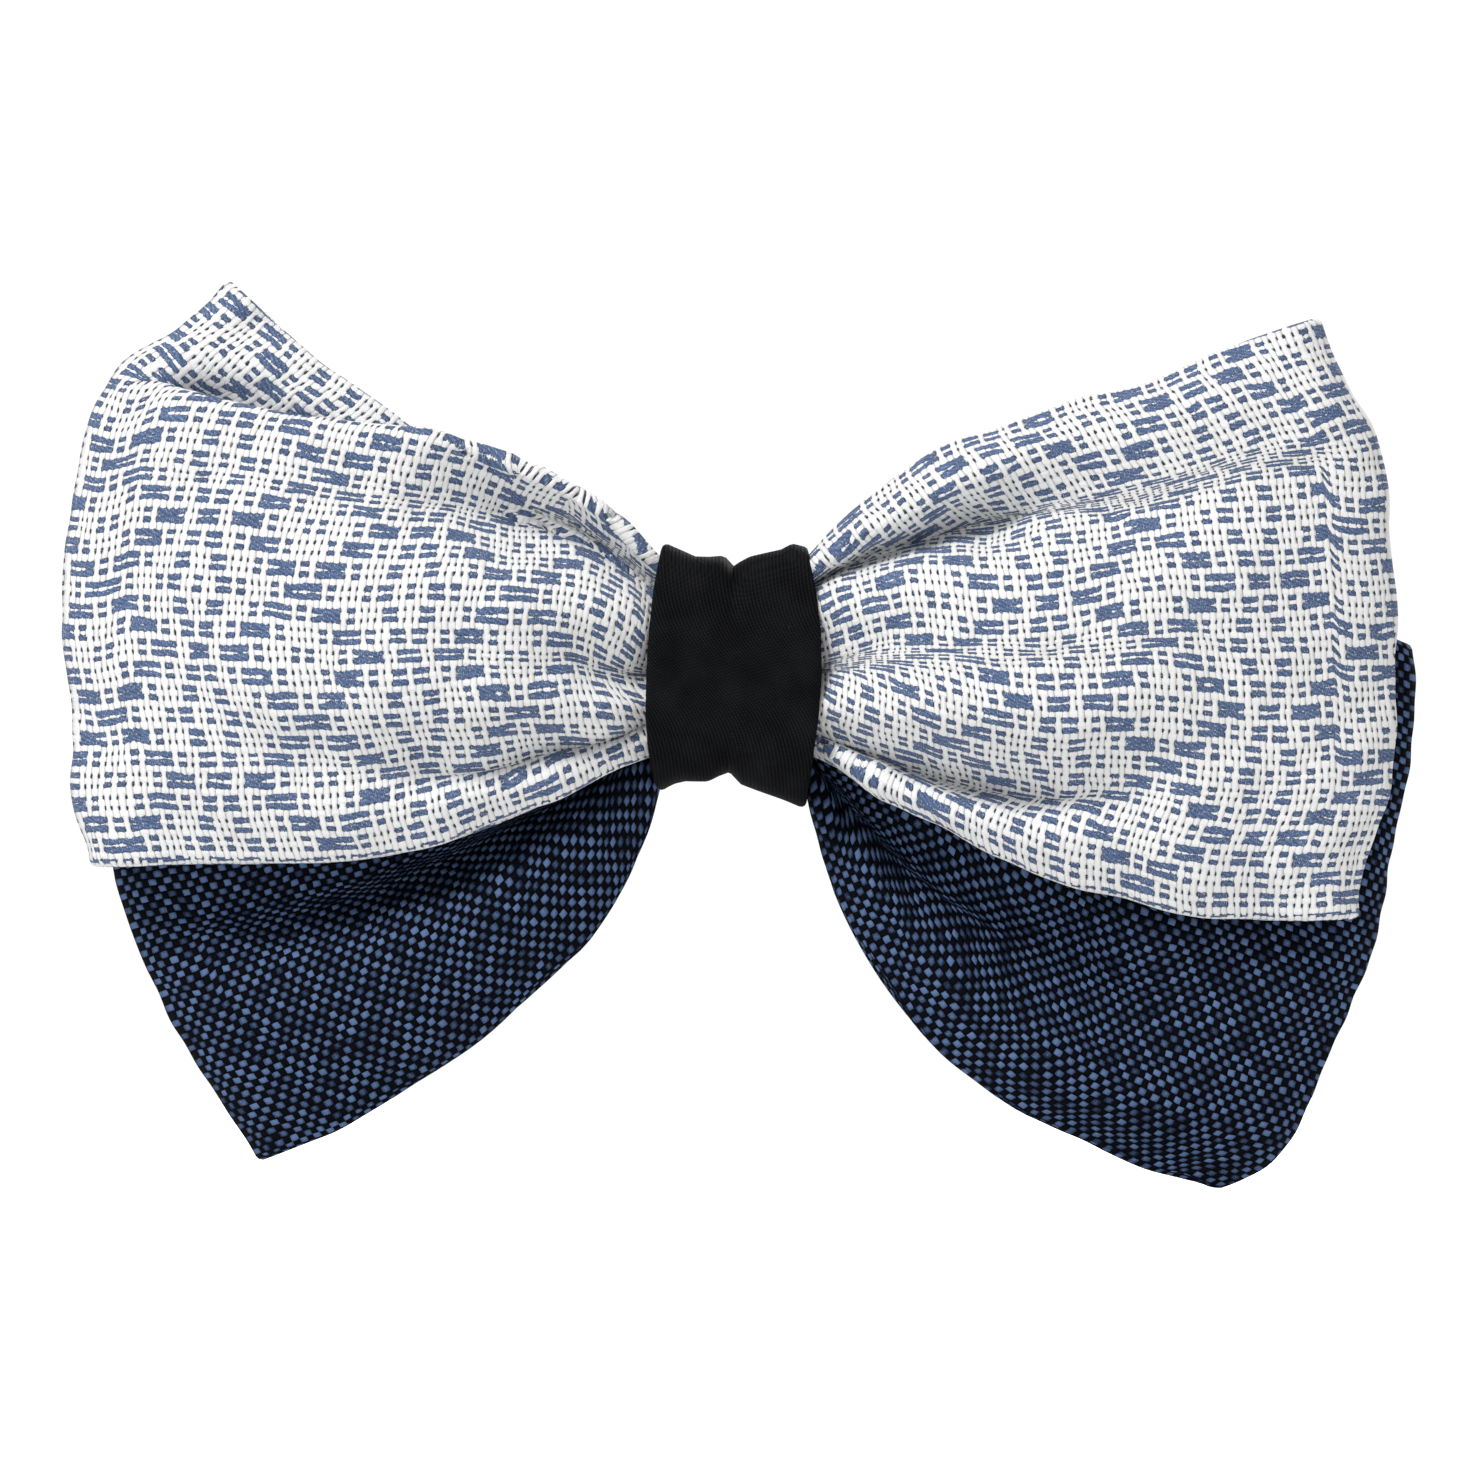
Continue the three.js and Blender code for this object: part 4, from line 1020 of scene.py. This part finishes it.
def twill_finish():
    """Fine black twill whose lines stand upright at the folds and lean across the knot's face."""
    f = Finish("black_twill", {"Specular IOR Level": 0.08})
    place = f.node("ShaderNodeTexCoord", None, None, "Object")
    x, y, z = f.parts(place)
    x, y, z = x / MM, y / MM, z / MM
    lean = f.node("ShaderNodeMath", {"operation": "TANH"}, {0: z / 6}) * 6
    rib = wave((x + lean) * (2 * math.pi / TWILL_RIB))
    cross = wave((z - y - x * 0.3) * (2 * math.pi / TWILL_PICK))
    grain = f.noise(place, 4500, 2.0) - 0.5
    rubbed = f.noise(place, 260, 2.0) - 0.5
    height = rib * 0.5 + cross * 0.2 + grain * 0.5
    # painted shade: the twill is painted darker in the hollows between its ribs and picks; the larger patches vary its
    # tone at random
    tone = limited(height * 0.7 + rubbed * 1.2 + 0.42)
    colour = f.mix(tone, (0.0010, 0.0011, 0.0014, 1), (0.0110, 0.0115, 0.0135, 1))
    lint = f.noise(place, 1500, 3.0, stretch=(1, 1, 0.45)) > 0.775
    colour = f.mix(lint * 0.35, colour, (0.10, 0.10, 0.11, 1))
    return f.surface(colour, 0.82 + grain * 0.1, height, 0.08)


def thread_finish(name, dark, light):
    """Twisted sewing thread, with painted shade in the grooves between its plies."""
    f = Finish(name, {"Sheen Weight": 0.05, "Specular IOR Level": 0.3})
    flat, along, around = f.cloth(0.02, 1.0)
    twist = wave((along / 0.55 + around / 0.9) * 2 * math.pi) * 0.5 + 0.5
    grain = f.noise(flat, 9.0, 2.0) - 0.5
    # painted shade: darker in the twist's grooves and lighter on its plies' tops
    tone = limited(twist * 0.8 + grain * 0.6 + 0.1)
    return f.surface(f.mix(tone, dark, light), 0.65 + grain * 0.1, twist, 0.03)


def lining_finish():
    """Crisp white woven interlining, with painted shade where its threads dip under each other."""
    f = Finish("interlining", {"Specular IOR Level": 0.2})
    flat, along, across = f.cloth(0.1, 1.5)
    turn = 2 * math.pi / LINING_REPEAT
    weave = wave(along * turn) * wave(across * turn) * 0.5 + 0.5
    grain = f.noise(flat, 6.0, 2.0) - 0.5
    # painted shade: darker where the weave's threads lie low
    colour = f.mix(weave, (0.55, 0.55, 0.52, 1), (0.78, 0.78, 0.75, 1))
    return f.surface(colour, 0.9 + grain * 0.1, weave, 0.1)


def metal_finish(name, dull, bright, low_roughness):
    """Plated steel with fine lengthwise polishing marks, a little duller in patches."""
    f = Finish(name, {"Metallic": 1.0})
    place = f.node("ShaderNodeTexCoord", None, None, "Object")
    marks = f.noise(place, 900, 3.0, stretch=(0.06, 1, 1)) - 0.5
    patches = f.noise(place, 180, 3.0) - 0.5
    pits = f.noise(place, 2600, 2.0) - 0.5
    tone = limited(marks * 0.8 + patches + 0.55)
    roughness = patches * 0.22 + marks * 0.16 + low_roughness
    return f.surface(f.mix(tone, dull, bright), roughness, marks + pits * 0.3, 0.012)


overshot, navy, twill = overshot_finish(), navy_finish(), twill_finish()
interlining = lining_finish()
black_thread = thread_finish("black_thread", (0.004, 0.004, 0.005, 1), (0.022, 0.022, 0.025, 1))
nickel = metal_finish("nickel_steel", (0.50, 0.485, 0.46, 1), (0.76, 0.74, 0.70, 1), 0.27)
spring_steel = metal_finish("spring_steel", (0.26, 0.26, 0.27, 1), (0.48, 0.48, 0.49, 1), 0.34)
white_thread = thread_finish("white_thread", (0.45, 0.45, 0.44, 1), (0.85, 0.85, 0.83, 1))


def put_on(piece, material):
    piece.data.materials.clear()
    piece.data.materials.append(material)


# piece, finish, slot, body, node that it stands for
for piece, material, slot, body, node in (
    (front_bow, overshot, "overshot_cloth", "bow", "front_bow"),
    (back_bow, navy, "navy_cloth", "bow", "back_bow"),
    (front_lining, interlining, "interlining", "bow", "front_bow_interlining"),
    (back_lining, interlining, "interlining", "bow", "back_bow_interlining"),
    (band, twill, "black_twill", "bow", "knot_band"),
    (front_thread, white_thread, "white_thread", "bow", "front_gather_thread"),
    (back_thread, black_thread, "black_thread", "bow", "back_gather_thread"),
    (seam, black_thread, "black_thread", "bow", "band_seam_thread"),
    (upper_stitch, black_thread, "black_thread", "bow", "clip_stitch_upper"),
    (lower_stitch, black_thread, "black_thread", "bow", "clip_stitch_lower"),
    (plate, nickel, "nickel_steel", "bow", "clip_plate"),
    (left_jaw, nickel, "nickel_steel", "left_jaw", "left_jaw"),
    (right_jaw, nickel, "nickel_steel", "right_jaw", "right_jaw"),
    (left_pin, nickel, "nickel_steel", "bow", "left_pivot_pin"),
    (right_pin, nickel, "nickel_steel", "bow", "right_pivot_pin"),
    (left_spring, spring_steel, "spring_steel", "bow", "left_spring"),
    (right_spring, spring_steel, "spring_steel", "bow", "right_spring"),
):
    put_on(piece, material)
    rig.ride(piece, body)
    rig.slot(piece, slot)
    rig.replaces(piece, node)

# each bow is one strip of cloth sewn into a tube, turned, pressed flat and folded into its two loops
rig.sheet(front_bow, flat=(0.302, 0.0718), held="gathered", rests_on=[back_bow])
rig.sheet(back_bow, flat=(0.296, 0.0668), held="gathered")
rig.sheet(front_lining, flat=(0.291, 0.0645), held="gathered")
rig.sheet(back_lining, flat=(0.285, 0.0595), held="gathered")
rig.sheet(band, flat=(0.0185, 0.086), held="folded", rests_on=[front_bow, back_bow])

# ---- Camera, light and floor --------------------------------------------------------------------

VIEW_WIDTH = 0.16426  # metres across that the camera takes in, at the knot's front
DISTANCE = 1.0  # from there to the camera
SENSOR = 36
WHITE_ROOM = 1.05  # how bright the room looks
ROOM_LIGHT = 0.505  # how much light the room gives
camera_data = bpy.data.cameras.new("camera")
camera_data.sensor_width = SENSOR
camera_data.lens = SENSOR * DISTANCE / VIEW_WIDTH
camera = bpy.data.objects.new("camera", camera_data)
bpy.context.collection.objects.link(camera)
camera.location = (0.0005, -0.02 - DISTANCE, -0.00696)
camera.rotation_euler = (math.pi / 2, 0, 0)
bpy.context.scene.camera = camera

world = bpy.data.worlds.new("studio")
bpy.context.scene.world = world
world.use_nodes = True
sky = world.node_tree.nodes["Background"]
sky.inputs["Color"].default_value = (1, 1, 1, 1)
seen = world.node_tree.nodes.new("ShaderNodeLightPath").outputs["Is Camera Ray"]
brightness = world.node_tree.nodes.new("ShaderNodeMapRange")
brightness.inputs["To Min"].default_value = ROOM_LIGHT
brightness.inputs["To Max"].default_value = WHITE_ROOM
world.node_tree.links.new(seen, brightness.inputs["Value"])
world.node_tree.links.new(brightness.outputs[0], sky.inputs["Strength"])
bpy.context.scene.view_settings.view_transform = "Standard"


def soft_light(name, place, size, power):
    """A square lamp of size metres and power watts at place, turned to the knot."""
    data = bpy.data.lights.new(name, "AREA")
    data.size = size
    data.energy = power
    lamp = bpy.data.objects.new(name, data)
    bpy.context.collection.objects.link(lamp)
    lamp.location = place
    lamp.rotation_euler = (-Vector(place)).to_track_quat("-Z", "Y").to_euler()


soft_light("key", (-0.35, -0.6, 0.7), 0.3, 6.6)
soft_light("rear fill", (0.3, 0.7, 0.35), 0.4, 4)

bpy.ops.object.select_all(action="DESELECT")
bpy.ops.mesh.primitive_plane_add(size=0.5, location=(0, 0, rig.bounds()[0][2] - 0.2 * MM))
floor = bpy.context.object
floor.name = "floor"
paint = bpy.data.materials.new("floor_white")
paint.use_nodes = True
shader = paint.node_tree.nodes["Principled BSDF"]
shader.inputs["Base Color"].default_value = (0.9, 0.9, 0.9, 1)
shader.inputs["Emission Strength"].default_value = 1
lit = paint.node_tree.nodes.new("ShaderNodeLightPath").outputs["Is Camera Ray"]
paint.node_tree.links.new(lit, shader.inputs["Emission Color"])
put_on(floor, paint)
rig.stage(floor)

low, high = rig.bounds()
json.dump({"cad": [list(cad_low), list(cad_high)], "visual": [list(low), list(high)]}, open("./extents.json", "w"))
